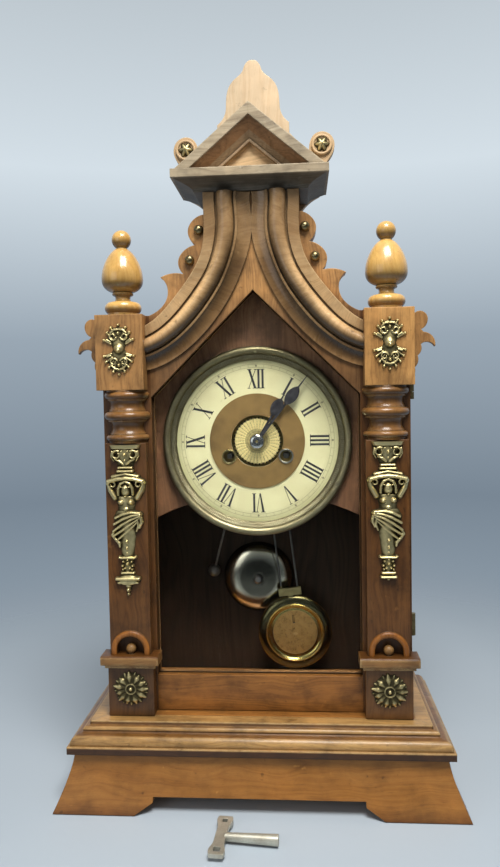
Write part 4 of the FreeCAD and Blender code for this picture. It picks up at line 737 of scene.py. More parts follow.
def swept_light_and_shade(t, at, turned):
    """Painted light and shade across the swept mouldings: a painted highlight on the outer band, painted
    shade on the inner half, and none at the neck.
    """
    across = remap(t, axis_of(t, turned, Z), 55.0, 105.0)
    fade = ramp(t, across, (0.24, (1.58, 1.72, 1.92, 1)), (0.34, (1.30, 1.36, 1.46, 1)),
                (0.44, (1.06, 1.08, 1.10, 1)), (0.52, (0.60, 0.57, 0.52, 1)),
                (0.72, (0.58, 0.53, 0.46, 1)), (0.82, (0.92, 0.86, 0.78, 1)))
    neck = sizes().sweep_z + 0.012
    return mix(t, remap(t, axis_of(t, at, Z), neck, neck - 0.020), (1, 1, 1, 1), fade)


@kept_once
def walnut(tone_name, along, gloss=0.42, wear=1.0, figure=1.0, reach=0.007, under=0.0):
    """Old varnished walnut: grain along one axis, paler rubbed edges, painted shade in its corners, dings and
    dull patches;
    under is how much painted shade darkens its downward faces."""
    m, t, bsdf = blank("%s_%s" % (tone_name, along))
    mid = colour(tone_name)
    at = place(t)
    if along == "arch":
        turned = across_arch(t, at)
    else:
        turned = add(t, "Mapping", {"Vector": at, "Rotation": TURNS[along], "Scale": (1000,) * 3}).outputs[0]
    grain = use(t, grain_group(), Vector=turned, Coarseness=1.0)
    edge = use(t, edge_group(), Radius=0.0011 * max(1.0, wear) ** 1.5, Reach=reach)
    speck = use(t, speck_group(), Vector=at, Scale=95.0)
    base = ramp(t, grain["Grain"], (0.12, shade(mid, 1 - 0.58 * figure, 0.10)),
                (0.36, shade(mid, 1 - 0.22 * figure, 0.04)), (0.55, mid),
                (0.82, shade(mid, 1 + 0.42 * figure, -0.06)))
    base = mix(t, times(t, grain["Pores"], 0.55 * figure), base, shade(mid, 0.22))
    polish = noise(t, at, 34.0, 6.0, 0.62)
    base = scaled(t, base, ramp(t, polish, (0.34, 1 - 0.42 * figure), (0.50, 0.96), (0.66, 1.0)))
    base = mix(t, remap(t, polish, 0.55, 0.75, 0.0, 0.5 * figure), base, shade(mid, 1.45, 0.06))
    base = mix(t, times(t, speck["Spots"], 0.6), base, shade(mid, 0.2))
    base = mix(t, times(t, speck["Dings"], 0.45), base, shade(mid, 1.9, -0.10))
    bare = min(1.0, max(0.0, wear - 0.9))
    rubbed = tuple(a + bare * (b - a) for a, b in zip(shade(mid, 2.0, -0.08), colour("bare_wood")))
    base = mix(t, times(t, edge["Edge"], 0.55 * wear), base, rubbed)
    # Painted shade: downward faces darker, as if lit from above.
    if under:
        up = remap(t, facing(t, "Normal", Z), -0.4, 0.25)
        base = scaled(t, base, ramp(t, up, (0.0, 1 - under), (1.0, 1.0)))
    # Painted highlight and shade across the swept mouldings.
    if along == "arch":
        base = scaled(t, base, swept_light_and_shade(t, at, turned))
    # Painted shade: darker where the surface is closed in, by ambient occlusion.
    crevice_shade = times(t, calc(t, "POWER", edge["Crevice"], 1.5), 0.85)
    rough = remap(t, grain["Blotch"], 0.3, 0.7, gloss - 0.10, gloss + 0.14)
    fill(t, bsdf, {"Base Color": mix(t, crevice_shade, base, shade(mid, 0.16)),
                   "Roughness": plus(t, rough, times(t, edge["Edge"], 0.15)),
                   "Normal": bump(t, 0.22, 0.0004, grain["Height"], Normal=edge["Normal"]),
                   "Specular IOR Level": 0.42, "Coat Weight": min(0.6, max(0.08, 1.6 - 3.9 * gloss)),
                   "Coat Roughness": min(0.32, 0.5 * gloss)})
    return m


def tinted(material, name, tint, axis, start, end, roof=False):
    """A copy of a finish whose colour is multiplied by a tint from one place along an axis to another;
    with roof, its upward faces keep the plain colour."""
    m = material.copy()
    m.name = name
    t = m.node_tree
    bsdf = next(n for n in t.nodes if n.type == "BSDF_PRINCIPLED")
    plain = bsdf.inputs["Base Color"].links[0].from_socket
    at = place(t)
    ragged = times(t, minus(t, noise(t, at, 120.0, 5.0), 0.5), 0.6 * (end - start))
    there = remap(t, plus(t, axis_of(t, at, axis), ragged), start, end)
    if roof:
        there = times(t, there, calc(t, "LESS_THAN", facing(t, "True Normal", Z), 0.4))
    fill(t, bsdf, {"Base Color": mix(t, there, plain, scaled(t, plain, tint))})
    return m


def shade_banded(wood, name, low, marks):
    """A copy of a finish with bands of painted shade: marks are heights over low where a band starts, ends
    and so on.
    """
    dark = colour("groove_shade_tint")
    for k, z in enumerate(marks):
        share = tuple(1 / c for c in dark) if k % 2 else dark
        wood = tinted(wood, "%s_%d" % (name, k), share, Z, low + z - BAND_SOFT, low + z + BAND_SOFT)
    return wood


def stained_pine():
    """Softwood back: stained dark inside, bare and browned by age on its outer face, with painted shade where
    it is closed in.
    """
    m, t, bsdf = blank("back_pine")
    c, bare = colour("back_brown"), colour("back_bare")
    at = add(t, "Mapping", {"Vector": place(t), "Scale": (1000,) * 3}).outputs[0]
    grain = use(t, grain_group(), Vector=at, Coarseness=0.6)
    edge = use(t, edge_group(), Radius=0.001, Reach=0.02)
    inside = ramp(t, grain["Grain"], (0.15, shade(c, 0.5)), (0.55, c), (0.85, shade(c, 1.5)))
    outside = ramp(t, grain["Grain"], (0.15, shade(bare, 0.45)), (0.50, bare), (0.85, shade(bare, 1.35)))
    base = mix(t, calc(t, "GREATER_THAN", facing(t, "True Normal", Y), 0.5), inside, outside)
    base = mix(t, times(t, grain["Pores"], 0.4), base, shade(c, 0.5))
    # Painted shade where the board is closed in.
    fill(t, bsdf, {"Base Color": mix(t, times(t, edge["Crevice"], 0.7), base, shade(c, 0.3)),
                   "Roughness": remap(t, grain["Blotch"], 0.3, 0.7, 0.55, 0.75), "Specular IOR Level": 0.15,
                   "Normal": bump(t, 0.3, 0.0005, grain["Height"], Normal=edge["Normal"])})
    return m


def cast_brass(name, dirt):
    """Cast brass: tarnished in its hollows and rubbed bright where it stands proud, by its own height."""
    m, t, bsdf = blank(name)
    rub = add(t, "Attribute", attribute_name="rubbed").outputs["Fac"]
    at = place(t)
    edge = use(t, edge_group(), Radius=0.0006, Reach=0.004)
    high = plus(t, times(t, rub, 0.55), times(t, minus(t, noise(t, at, 170.0, 5.0), 0.5), 0.7))
    high = minus(t, plus(t, high, 0.46 - dirt), times(t, edge["Crevice"], 0.55))
    worn, dull = colour("brass_worn"), colour("brass_dull")
    base = ramp(t, high, (0.05, shade(dull, 0.6)), (0.30, dull), (0.52, shade(worn, 0.55)), (0.85, worn))
    fill(t, bsdf, {"Base Color": base, "Roughness": ramp(t, high, (0.1, 0.66), (0.75, 0.41)),
                   "Metallic": ramp(t, high, (0.05, 0.55), (0.45, 1.0)),
                   "Normal": bump(t, 0.30, 0.0002, noise(t, at, 900.0, 2.0))})
    return m


def metal(name, tone_name, rough, spots, bare=1.0):
    """Plain metal: faint tarnish patches, rubbed edges and painted shade where it is closed in; bare is how
    much of it is clean metal.
    """
    m, t, bsdf = blank(name)
    c = colour(tone_name)
    at = place(t)
    fine = noise(t, at, 700.0, 3.0)
    edge = use(t, edge_group(), Radius=0.0005, Reach=0.004)
    age = plus(t, times(t, noise(t, at, 60.0, 6.0, 0.6), 0.75), times(t, fine, 0.25))
    base = ramp(t, age, (0.30, shade(c, 1.0 - spots, 0.06)), (0.62, c), (0.80, shade(c, 1.12)))
    # Painted shade where the metal is closed in.
    base = mix(t, times(t, edge["Crevice"], 0.75), base, shade(c, 0.16))
    fill(t, bsdf, {"Base Color": mix(t, times(t, edge["Edge"], 0.4), base, shade(c, 1.25)),
                   "Roughness": remap(t, age, 0.3, 0.7, rough + 0.3 * spots, rough - 0.12 * spots),
                   "Metallic": bare, "Normal": bump(t, 0.06, 0.0002, fine, Normal=edge["Normal"])})
    return m


def two_metals(name, tone_low, tone_high, axis, split, rough):
    """Two plain metals on one node, divided at a place along one axis, both with faint tarnish and painted
    shade in their corners.
    """
    m, t, bsdf = blank(name)
    at = place(t)
    patch = noise(t, at, 140.0, 5.0)
    edge = use(t, edge_group(), Radius=0.0004, Reach=0.003)
    base = mix(t, calc(t, "GREATER_THAN", axis_of(t, at, axis), split), colour(tone_low), colour(tone_high))
    base = scaled(t, base, ramp(t, patch, (0.30, 0.62), (0.65, 1.0)))
    # Painted shade in the corners.
    fill(t, bsdf, {"Base Color": mix(t, times(t, edge["Crevice"], 0.6), base, colour("metal_corner_shade")),
                   "Roughness": remap(t, patch, 0.3, 0.7, rough + 0.12, rough), "Metallic": 1.0,
                   "Normal": bump(t, 0.05, 0.0002, patch, Normal=edge["Normal"])})
    return m


def dial_paint():
    """Cream enamel paint, yellowed and darkened by painted shade to the rim, with faint blotches and fine
    specks.
    """
    m, t, bsdf = blank("dial_cream")
    c = colour("cream")
    at = place(t)
    _, reach = around(t, at, (0, 0, sizes().dial_z))
    blot = noise(t, at, 38.0, 5.0)
    base = ramp(t, blot, (0.30, shade(c, 0.86, 0.03)), (0.62, c), (0.85, shade(c, 1.06)))
    # Yellowing together with painted shade towards the bezel.
    base = mix(t, times(t, remap(t, reach, 0.060, 0.0695), 0.70), base, colour("rim_yellow_and_shade"))
    speck = use(t, speck_group(), Vector=at, Scale=260.0)
    fill(t, bsdf, {"Base Color": mix(t, times(t, speck["Spots"], 0.35), base, shade(c, 0.4, 0.1)),
                   "Roughness": remap(t, blot, 0.3, 0.7, 0.34, 0.48), "Normal": bump(t, 0.05, 0.0003, blot)})
    return m


def centre_paint():
    """Tan metal disc with a fine turned sheen and soft stains."""
    m, t, bsdf = blank("dial_centre_tan")
    c = colour("centre_tan")
    at = place(t)
    _, reach = around(t, at, (0, 0, sizes().dial_z))
    rings = noise(t, xyz(t, times(t, reach, 2600.0)), 1.0, 2.0)
    fill(t, bsdf, {"Base Color": ramp(t, noise(t, at, 55.0, 4.0), (0.30, shade(c, 0.72)), (0.55, c),
                                      (0.80, shade(c, 1.18))),
                   "Roughness": remap(t, rings, 0.3, 0.7, 0.42, 0.56), "Metallic": 0.35,
                   "Normal": bump(t, 0.08, 0.0002, rings)})
    return m


def black_paint(name, rough, fade=0.0):
    """Blued or blackened finish, a little worn, or faded to a thin grey-brown line."""
    m, t, bsdf = blank(name)
    n = noise(t, place(t), 240.0, 4.0)
    pale = colour("ink_faded")
    low, high = [tuple(k + fade * (p - k) for k, p in zip(colour(c), pale)) for c in ("ink", "ink_worn")]
    fill(t, bsdf, {"Base Color": ramp(t, n, (0.35, low), (0.75, high)),
                   "Roughness": remap(t, n, 0.3, 0.7, rough, rough + 0.18)})
    return m


def engraved_brass():
    """The alarm disc: brass with struck rays and rings round its hub, and painted shade round a toothed
    outline at its edge.
    """
    m, t, bsdf = blank("alarm_disc_brass")
    c = colour("brass_clean")
    at = place(t)
    angle, reach = around(t, at, (0, 0, sizes().dial_z))

    def waves(value, often):
        return calc(t, "ABSOLUTE", calc(t, "SINE", times(t, value, often)))

    rays = times(t, waves(angle, 36 * math.pi), remap(t, reach, 0.0100, 0.0112))
    cut = plus(t, times(t, rays, 0.8), times(t, waves(reach, 1500.0), 0.25))
    cut = plus(t, cut, times(t, noise(t, at, 420.0, 4.0), 0.9))
    base = ramp(t, cut, (0.35, shade(c, 0.45)), (0.80, c), (1.0, shade(c, 1.3)))
    # Painted shade outside a toothed outline, for the gaps between the teeth.
    tooth_gap_shade = plus(t, reach, times(t, waves(angle, 40 * math.pi), 0.0014))
    fill(t, bsdf, {"Base Color": mix(t, remap(t, tooth_gap_shade, 0.0204, 0.0208), base, shade(c, 0.05)),
                   "Roughness": 0.36, "Metallic": 0.55, "Normal": bump(t, 0.8, 0.0003, cut)})
    return m


def bob_brass():
    """The bob's shell: a tarnished rim, also darkened as a painted reflection of the dark case, with a bright
    edge, and a bead with a painted highlight and a channel of cleaner brass.
    """
    m, t, bsdf = blank("bob_brass")
    low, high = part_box("bob_disc")
    at = place(t)
    _, reach = around(t, at, 0.5 * (low + high))
    gold, dark = colour("bob_gold"), colour("bob_tarnish_and_reflection")
    blot = noise(t, at, 120.0, 5.0)
    # By radius: a darker channel, a bead with a painted highlight, a rim of tarnish and painted dark
    # reflection, and a lighter edge.
    base = ramp(t, remap(t, reach, 0.020, 0.036), (0.0, shade(gold, 0.5)), (0.35, gold),
                (0.44, shade(gold, 1.3)), (0.47, dark), (0.84, shade(dark, 1.4)), (0.90, shade(gold, 0.6)))
    fill(t, bsdf, {"Base Color": scaled(t, base, ramp(t, blot, (0.30, 0.75), (0.65, 1.0))),
                   "Roughness": remap(t, blot, 0.3, 0.7, 0.26, 0.18), "Metallic": 1.0,
                   "Normal": bump(t, 0.05, 0.0002, blot)})
    return m


def bell_metal():
    """The bell: finely turned, with painted reflections: dark in the middle, a painted highlight on its
    shoulder, darker and duller to the rim.
    """
    m, t, bsdf = blank("bell_nickel_painted_reflection")
    low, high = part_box("bell")
    c = colour("bell_grey")
    _, reach = around(t, place(t), 0.5 * (low + high))
    rings = noise(t, xyz(t, times(t, reach, 1700.0)), 1.0, 3.0)
    share = remap(t, reach, 0.0, 0.5 * (high.x - low.x))
    # Painted reflections by radius: dark middle, a painted highlight on the shoulder, darker again to the
    # rim.
    base = ramp(t, share, (0.0, shade(c, 0.19)), (0.48, shade(c, 0.22)), (0.62, c),
                (0.80, shade(c, 1.7)), (0.88, shade(c, 0.45)))
    fill(t, bsdf, {"Base Color": scaled(t, base, ramp(t, rings, (0.35, 0.78), (0.60, 1.0))),
                   "Roughness": remap(t, rings, 0.3, 0.7, 0.22, 0.15), "Metallic": 1.0,
                   "Normal": bump(t, 0.05, 0.0002, rings)})
    return m


def stippled_copper():
    """The bob's disc: copper lacquer with a stippled ground gone dark in spots, and painted shade where it is
    closed in.
    """
    m, t, bsdf = blank("bob_copper")
    c = colour("copper")
    at = place(t)
    cells = add(t, "TexVoronoi", {"Vector": at, "Scale": 1100.0}).outputs["Distance"]
    blot = noise(t, at, 210.0, 5.0)
    edge = use(t, edge_group(), Radius=0.0003, Reach=0.0025)
    age = plus(t, times(t, cells, 0.35), times(t, blot, 0.8))
    base = ramp(t, age, (0.30, shade(c, 0.35)), (0.52, shade(c, 0.85)), (0.75, c))
    speck = use(t, speck_group(), Vector=at, Scale=330.0)
    base = mix(t, calc(t, "MAXIMUM", speck["Spots"], speck["Dings"]), base, shade(c, 0.15))
    # Painted shade where the disc is closed in.
    fill(t, bsdf, {"Base Color": mix(t, remap(t, edge["Crevice"], 0.10, 0.40), base, shade(c, 0.03)),
                   "Roughness": remap(t, blot, 0.3, 0.7, 0.52, 0.36), "Metallic": 0.6,
                   "Normal": bump(t, 0.3, 0.0002, cells)})
    return m


def old_glass():
    """Clear window glass that lets light pass straight through."""
    m, t, bsdf = blank("door_glass_clear")
    fill(t, bsdf, {"Base Color": colour("glass_clear"), "Transmission Weight": 1.0, "IOR": 1.08,
                   "Roughness": 0.0})
    lit = add(t, "LightPath").outputs["Is Shadow Ray"]
    cover(t, lit, bsdf)
    return m


# Dial lettering.

def bar(x0, x1, z0, z1):
    """An upright oblong as four corners of (x, z)."""
    return [(x0, z0), (x1, z0), (x1, z1), (x0, z1)]


def head(x0, x1):
    """A serif at the top of a letter one unit high."""
    return bar(x0, x1, 0.965, 1)


def foot(x0, x1):
    """A serif at the bottom of a letter."""
    return bar(x0, x1, 0, 0.035)


# Width of each letter and its strokes, for a letter one unit high.
GLYPHS = {
    "I": (0.21, [bar(-0.055, 0.055, 0.02, 0.98), foot(-0.105, 0.105), head(-0.105, 0.105)]),
    "V": (0.43, [[(-0.215, 0.98), (-0.03, 0.0), (0.035, 0.0), (-0.095, 0.98)],
                 [(0.005, 0.0), (0.035, 0.0), (0.195, 0.98), (0.16, 0.98)],
                 head(-0.265, -0.03), head(0.095, 0.245)]),
    "X": (0.45, [[(-0.205, 0.98), (0.09, 0.02), (0.21, 0.02), (-0.085, 0.98)],
                 [(-0.195, 0.02), (-0.16, 0.02), (0.195, 0.98), (0.16, 0.98)],
                 head(-0.255, -0.025), head(0.095, 0.245), foot(-0.245, -0.095), foot(0.025, 0.255)]),
}
HOURS = ("I", "II", "III", "IIII", "V", "VI", "VII", "VIII", "IX", "X", "XI", "XII")


def flat_bars(quads, y0, y1):
    """Thin closed boxes over many four-sided outlines of (x, z), all in one array."""
    q = np.asarray(quads, float)
    n = len(q)
    front = np.concatenate([q[..., :1], np.full((n, 4, 1), y0), q[..., 1:]], -1)
    back = front.copy()
    back[..., 1] = y1
    co = np.stack([front, back], 1).reshape(-1, 3)
    i = np.arange(4)
    cell = np.concatenate([[i], [i[::-1] + 4], np.stack([(i + 1) % 4, i, i + 4, (i + 1) % 4 + 4], -1)])
    return co, (np.arange(n)[:, None, None] * 8 + cell[None]).reshape(-1, 4)


def numerals(inner, outer, centre_z):
    """Outlines of the twelve hours, feet to the centre: each stroke turned by its hour, between two radii."""
    quads = []
    tall = outer - inner
    for hour, word in enumerate(HOURS, 1):
        a = math.pi * hour / 6
        along, out = np.array([math.cos(a), -math.sin(a)]), np.array([math.sin(a), math.cos(a)])
        at = -0.5 * sum(GLYPHS[c][0] for c in word)
        for c in word:
            wide, strokes = GLYPHS[c]
            for stroke in strokes:
                p = np.array(stroke)
                aside = np.outer(p[:, 0] + at + wide / 2, along) * tall
                quads.append(aside + np.outer(inner + p[:, 1] * tall, out) + (0, centre_z))
            at += wide
    return quads


def flat_ring(r, half, y0, y1, centre_z):
    """A thin flat ring: a small square section carried round the dial."""
    section = [(r - half, y0), (r + half, y0), (r + half, y1), (r - half, y1), (r - half, y0)]
    return lathe(section, (0, 0, centre_z), "y", 180)


def minute_track(y0, y1):
    """Sixty ticks, the two thin rings they stand between, and a dot at each hour."""
    s = sizes()
    mid = 0.5 * (s.track_in + s.track_out)
    a = np.arange(60) * math.pi / 30
    out, along = np.stack([np.sin(a), np.cos(a)], -1), np.stack([np.cos(a), -np.sin(a)], -1)
    corners = [(LINE_HALF, s.track_in), (LINE_HALF, s.track_out), (-LINE_HALF, s.track_out),
               (-LINE_HALF, s.track_in)]
    ticks = np.stack([out * r + along * w + (0, s.dial_z) for w, r in corners], 1)
    rings = [flat_ring(r, LINE_HALF, y0, y1, s.dial_z) for r in (s.track_in, s.track_out)]
    dot = [(0.0, y0), (DOT_R, y0), (DOT_R, y1), (0.0, y1)]
    dots = [lathe(dot, (mid * x, 0, s.dial_z + mid * z), "y", 16) for x, z in out[::5]]
    return [flat_bars(ticks, y0, y1)] + rings + dots


def milled_band(profile, ridges, high, sink, centre_z):
    """A closed band round the dial: profile rows of (radius, y) lifted to the front by
    high * (1 + cos(ridges * angle)) / 2, backed by the same profile sunk by sink."""
    p = np.asarray(profile, float)
    a = np.linspace(0, 2 * math.pi, ridges * 6, endpoint=False)[:, None]
    lift = 0.5 * high * (1 + np.cos(ridges * a)) * np.r_[0, np.ones(len(p) - 2), 0][None, :]
    r = np.concatenate([np.broadcast_to(p[:, 0], lift.shape), np.broadcast_to(p[::-1, 0], lift.shape)], 1)
    y = np.concatenate([p[:, 1] - lift, np.broadcast_to(p[::-1, 1] + sink, lift.shape)], 1)
    co = np.stack([r * np.cos(a), y, centre_z + r * np.sin(a)], -1)
    return co.reshape(-1, 3), grid_faces(ridges * 6, 2 * len(p), True, True)


# Operators, one for each group of pieces.

class CLOCK_OT_plinth(bpy.types.Operator):
    """Finish the flared plinth, its lip, moulding and platform"""
    bl_idname = "clock.plinth"
    bl_label = "Plinth"

    def execute(self, context):
        for side, node, along in (("front", "plinth_skirt_front", "x"), ("side", "plinth_skirt_sides", "y")):
            wood = walnut("walnut_gold", along, figure=0.7)
            dress(tinted(wood, "skirt_%s_wood" % side, colour("foot_tint"), Z, 0.010, -0.001), node)
        dress(walnut("walnut_gold", "x"), "plinth_top_board")
        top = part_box("plinth_lip_board")[1].z
        wood = walnut("lip_gold", "x", gloss=0.38, wear=1.7)
        # Painted shade on the lip's front, below its rubbed top.
        dress(tinted(wood, "lip_wood_front_shade", colour("lip_shade_tint"), Z, top - 0.0006, top - 0.0016), "plinth_lip_board")
        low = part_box("plinth_moulding")[0].z
        wood = walnut("moulding_brown", "x", gloss=0.34, wear=1.7, reach=0.006, under=0.3)
        # Bands of painted shade in the moulding's hollows.
        dress(shade_banded(wood, "moulding_shade_bands", low, MOULDING_SHADE_BANDS), "plinth_moulding")
        return {"FINISHED"}


class CLOCK_OT_carcase(bpy.types.Operator):
    """Finish the case sides, back, shoulders and dial board"""
    bl_idname = "clock.carcase"
    bl_label = "Carcase"

    def execute(self, context):
        dress(walnut("walnut_mid", "z"), "case_sides")
        dress(walnut("walnut_mid", "x"), "case_shoulders")
        dress(stained_pine(), "back_board")
        z = sizes().dial_z
        wood = walnut("board_red", "z", gloss=0.5, wear=0.3)
        dress(tinted(wood, "dial_board_wood", colour("board_tint"), Z, z + 0.03, z - 0.06), "dial_board")
        return {"FINISHED"}


class CLOCK_OT_crown(bpy.types.Operator):
    """Finish the cornice, pediment and crest, and set a cast flower on each ear"""
    bl_idname = "clock.crown"
    bl_label = "Cornice, pediment and crest"

    def execute(self, context):
        s = sizes()
        pale = walnut("pediment_pale", "x", gloss=0.5)
        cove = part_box("cornice")[0].z + COVE_H
        # Painted shade in the cove under the cornice's fillet.
        wood = tinted(pale, "cornice_cove_shade", colour("cove_shade_tint"), Z, cove + 0.0004, cove - 0.0004)
        dress(wood, "cornice")
        y = front_of("pediment")
        for name, tint, start, end in PEDIMENT_STEPS:
            pale = tinted(pale, name, colour(tint), Y, y + start, y + end, True)
        dress(pale, "pediment")
        wood = walnut("crest_faded", "z", gloss=0.5, wear=0.5, figure=0.45)
        for name, way in (("crest_one_ear", -1), ("crest_wood", 1)):
            wood = tinted(wood, name, colour("ear_tint"), X, way * EAR_FROM, way * EAR_TO)
        dress(wood, "crest_board")
        star = star_relief(s.ear_r / MM)
        sides = cast_pair(star, star, EAR_BOX, (s.ear_x, s.ear_y, s.ear_z), EAR_STEP)
        casting("ear_flowers", sides, "case", cast_brass("ear_brass", 0.16))
        return {"FINISHED"}


class CLOCK_OT_door_frame(bpy.types.Operator):
    """Finish the door's stiles, rail, arch, pilasters, blocks, ledges, capitals, finials and side scrolls"""
    bl_idname = "clock.door_frame"
    bl_label = "Door frame"

    def execute(self, context):
        dark, brown, gold = walnut("walnut_dark", "z"), walnut("walnut_mid", "z"), walnut("block_gold", "z")
        dress(dark, "door_stiles")
        hood = front_of("pilasters")
        wood = tinted(dark, "pilaster_wood", colour("hood_tint"), Y, hood + 0.0022, hood + 0.0012)
        dress(wood, "pilasters")
        dress(brown, "glass_beads")
        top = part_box("pilaster_blocks")[1].z
        dress(tinted(brown, "arch_wood", colour("arch_tint"), Z, top - 0.008, top + 0.018), "arch_board")
        dress(walnut("rail_brown", "x"), "door_bottom_rail")
        dress(gold, "side_scrolls")
        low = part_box("door_bottom_rail")[1].z + 0.05
        blocks = tinted(gold, "block_low_wood", colour("low_tint"), Z, low, low - 0.01)
        # Painted light: the right blocks lighter.
        dress(tinted(blocks, "block_wood_right_light", colour("right_light_tint"), X, -0.02, 0.02), "pilaster_blocks")
        low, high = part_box("ledges")
        mid = 0.55 * (high.z - low.z)
        wood = walnut("ledge_brown", "x", gloss=0.38, wear=2.0)
        # A line of painted shade along the middle of the ledges.
        dress(shade_banded(wood, "ledge_shade_band", low.z, (mid - 0.0007, mid + 0.0007)), "ledges")
        wood = walnut("capital_brown", "z", gloss=0.30, wear=1.3, figure=0.8, reach=0.009, under=0.60)
        dress(wood, "capitals")
        dress(walnut("finial_honey", "z", gloss=0.22, wear=0.4, figure=0.5, under=0.68), "finials")
        wood = walnut("swept_brown", "arch", gloss=0.29, wear=1.2, figure=0.7, reach=0.012, under=0.82)
        dress(wood, "arch_mouldings")
        return {"FINISHED"}


class CLOCK_OT_mounts(bpy.types.Operator):
    """Model the cast brass, figures, scroll mounts and rosettes, and finish the studs"""
    bl_idname = "clock.mounts"
    bl_label = "Cast mounts"

    def execute(self, context):
        s = sizes()
        step = s.relief_step / MM
        dress(metal("stud_bronze", "bronze", 0.28, 0.5), "brass_studs")
        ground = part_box("figure_mounts")[1].y
        left, right = figure_relief(True), figure_relief(False)
        sides = cast_pair(left, right, FIGURE_BOX, (s.axis_x, ground, 0), step, True)
        brass = cast_brass("figure_brass", -0.16)
        casting("cast_figures", sides, "door", brass, ("figure_mounts",))
        low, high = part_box("block_mounts")
        scroll = scroll_relief()
        sides = cast_pair(scroll, scroll, SCROLL_BOX, (s.block_x, high.y, 0.5 * (low.z + high.z)), step, True)
        brass = cast_brass("scroll_brass", -0.11)
        casting("cast_scrolls", sides, "door", brass, ("block_mounts",))
        low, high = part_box("block_rosettes")
        flower = flower_relief(ROSETTE_REACH, ROSETTE_LEAVES)
        sides = cast_pair(flower, flower, ROSETTE_BOX, (s.axis_x, high.y, 0.5 * (low.z + high.z)), step)
        brass = cast_brass("rosette_brass", 0.22)
        casting("cast_rosettes", sides, "door", brass, ("block_rosettes",))
        return {"FINISHED"}


class CLOCK_OT_dial(bpy.types.Operator):
    """Paint the dial, letter its hours and minutes, and finish bezel, hands and alarm disc"""
    bl_idname = "clock.dial"
    bl_label = "Dial"

    def execute(self, context):
        s = sizes()
        z = s.dial_z
        dress(dial_paint(), "dial_plate")
        dress(centre_paint(), "dial_centre")
        ring = metal("bezel_metal", "bezel_grey", 0.46, 0.35)
        # Painted dark reflection on the upper part of the bezel.
        dress(tinted(ring, "bezel_shaded", colour("bezel_reflection_tint"), Z, z, z + 0.060), "bezel")
        dress(two_metals("winding_ring_metals", "brass_clean", "nickel", X, 0.0, 0.25), "winding_rings")
        dress(engraved_brass(), "alarm_disc")
        dress(black_paint("hand_black", 0.32), "minute_hand", "hour_hand")
        dress(metal("polished_steel", "steel", 0.16, 0.2), "cannon_pinion")
        face = front_of("dial_plate")
        y0, y1 = face - INK_PROUD, face + INK_SUNK
        bars = flat_bars(numerals(s.numeral_in, s.numeral_out, z), y0, y1)
        ink = black_paint("dial_ink", 0.45)
        piece("dial_numerals", [bars], "case", ink, tidy=False)
        ink = black_paint("track_ink", 0.5, 0.55)
        piece("dial_minutes", minute_track(y0, y1), "case", ink)
        band = milled_band([(r, face - up) for r, up in BEZEL_SLOPE], s.milling, s.mill_h, s.mill_h, z)
        grey = metal("milled_metal", "milled_grey", 0.44, 0.4)
        piece("bezel_milling", [band], "case", grey, smooth=70)
        return {"FINISHED"}


class CLOCK_OT_movement(bpy.types.Operator):
    """Finish the plates, wheels, barrels, arbors and hinges"""
    bl_idname = "clock.movement"
    bl_label = "Movement and hinges"

    def execute(self, context):
        brass = metal("movement_brass", "brass_clean", 0.34, 0.35)
        dress(brass, "movement_front_plate", "movement_back_plate", "hour_wheel", "minute_wheel",
              "centre_wheel", "third_wheel", "escape_wheel", "time_barrel", "alarm_barrel", "alarm_star")
        dress(metal("hinge_bronze", "bronze", 0.45, 0.6), "hinge_leaves_case", "door_hardware")
        dress(metal("pillar_steel", "steel", 0.28, 0.3), "movement_pillars", "suspension_cock")
        steel = metal("arbor_steel", "dark_steel", 0.30, 0.4)
        dress(steel, "time_arbor", "alarm_arbor", "verge_crutch", "bell_post")
        return {"FINISHED"}


class CLOCK_OT_pendulum(bpy.types.Operator):
    """Finish the pendulum, the bell and its hammer"""
    bl_idname = "clock.pendulum"
    bl_label = "Pendulum and bell"

    def execute(self, context):
        bar_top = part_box("bob_shell")[1].z + 0.0085
        dress(two_metals("rod_metals", "bar_brass", "dark_steel", Z, bar_top, 0.3), "pendulum_rods")
        dress(bob_brass(), "bob_shell")
        dress(stippled_copper(), "bob_disc")
        dress(bell_metal(), "bell")
        dress(metal("hammer_steel", "dark_steel", 0.50, 0.5), "alarm_hammer")
        return {"FINISHED"}


class CLOCK_OT_glass(bpy.types.Operator):
    """Glaze the door"""
    bl_idname = "clock.glass"
    bl_label = "Door glass"

    def execute(self, context):
        dress(old_glass(), "door_glass")
        return {"FINISHED"}


class CLOCK_OT_key(bpy.types.Operator):
    """Finish the winding key"""
    bl_idname = "clock.key"
    bl_label = "Winding key"

    def execute(self, context):
        dress(metal("key_nickel", "nickel", 0.38, 0.35, 0.6), "winding_key")
        return {"FINISHED"}


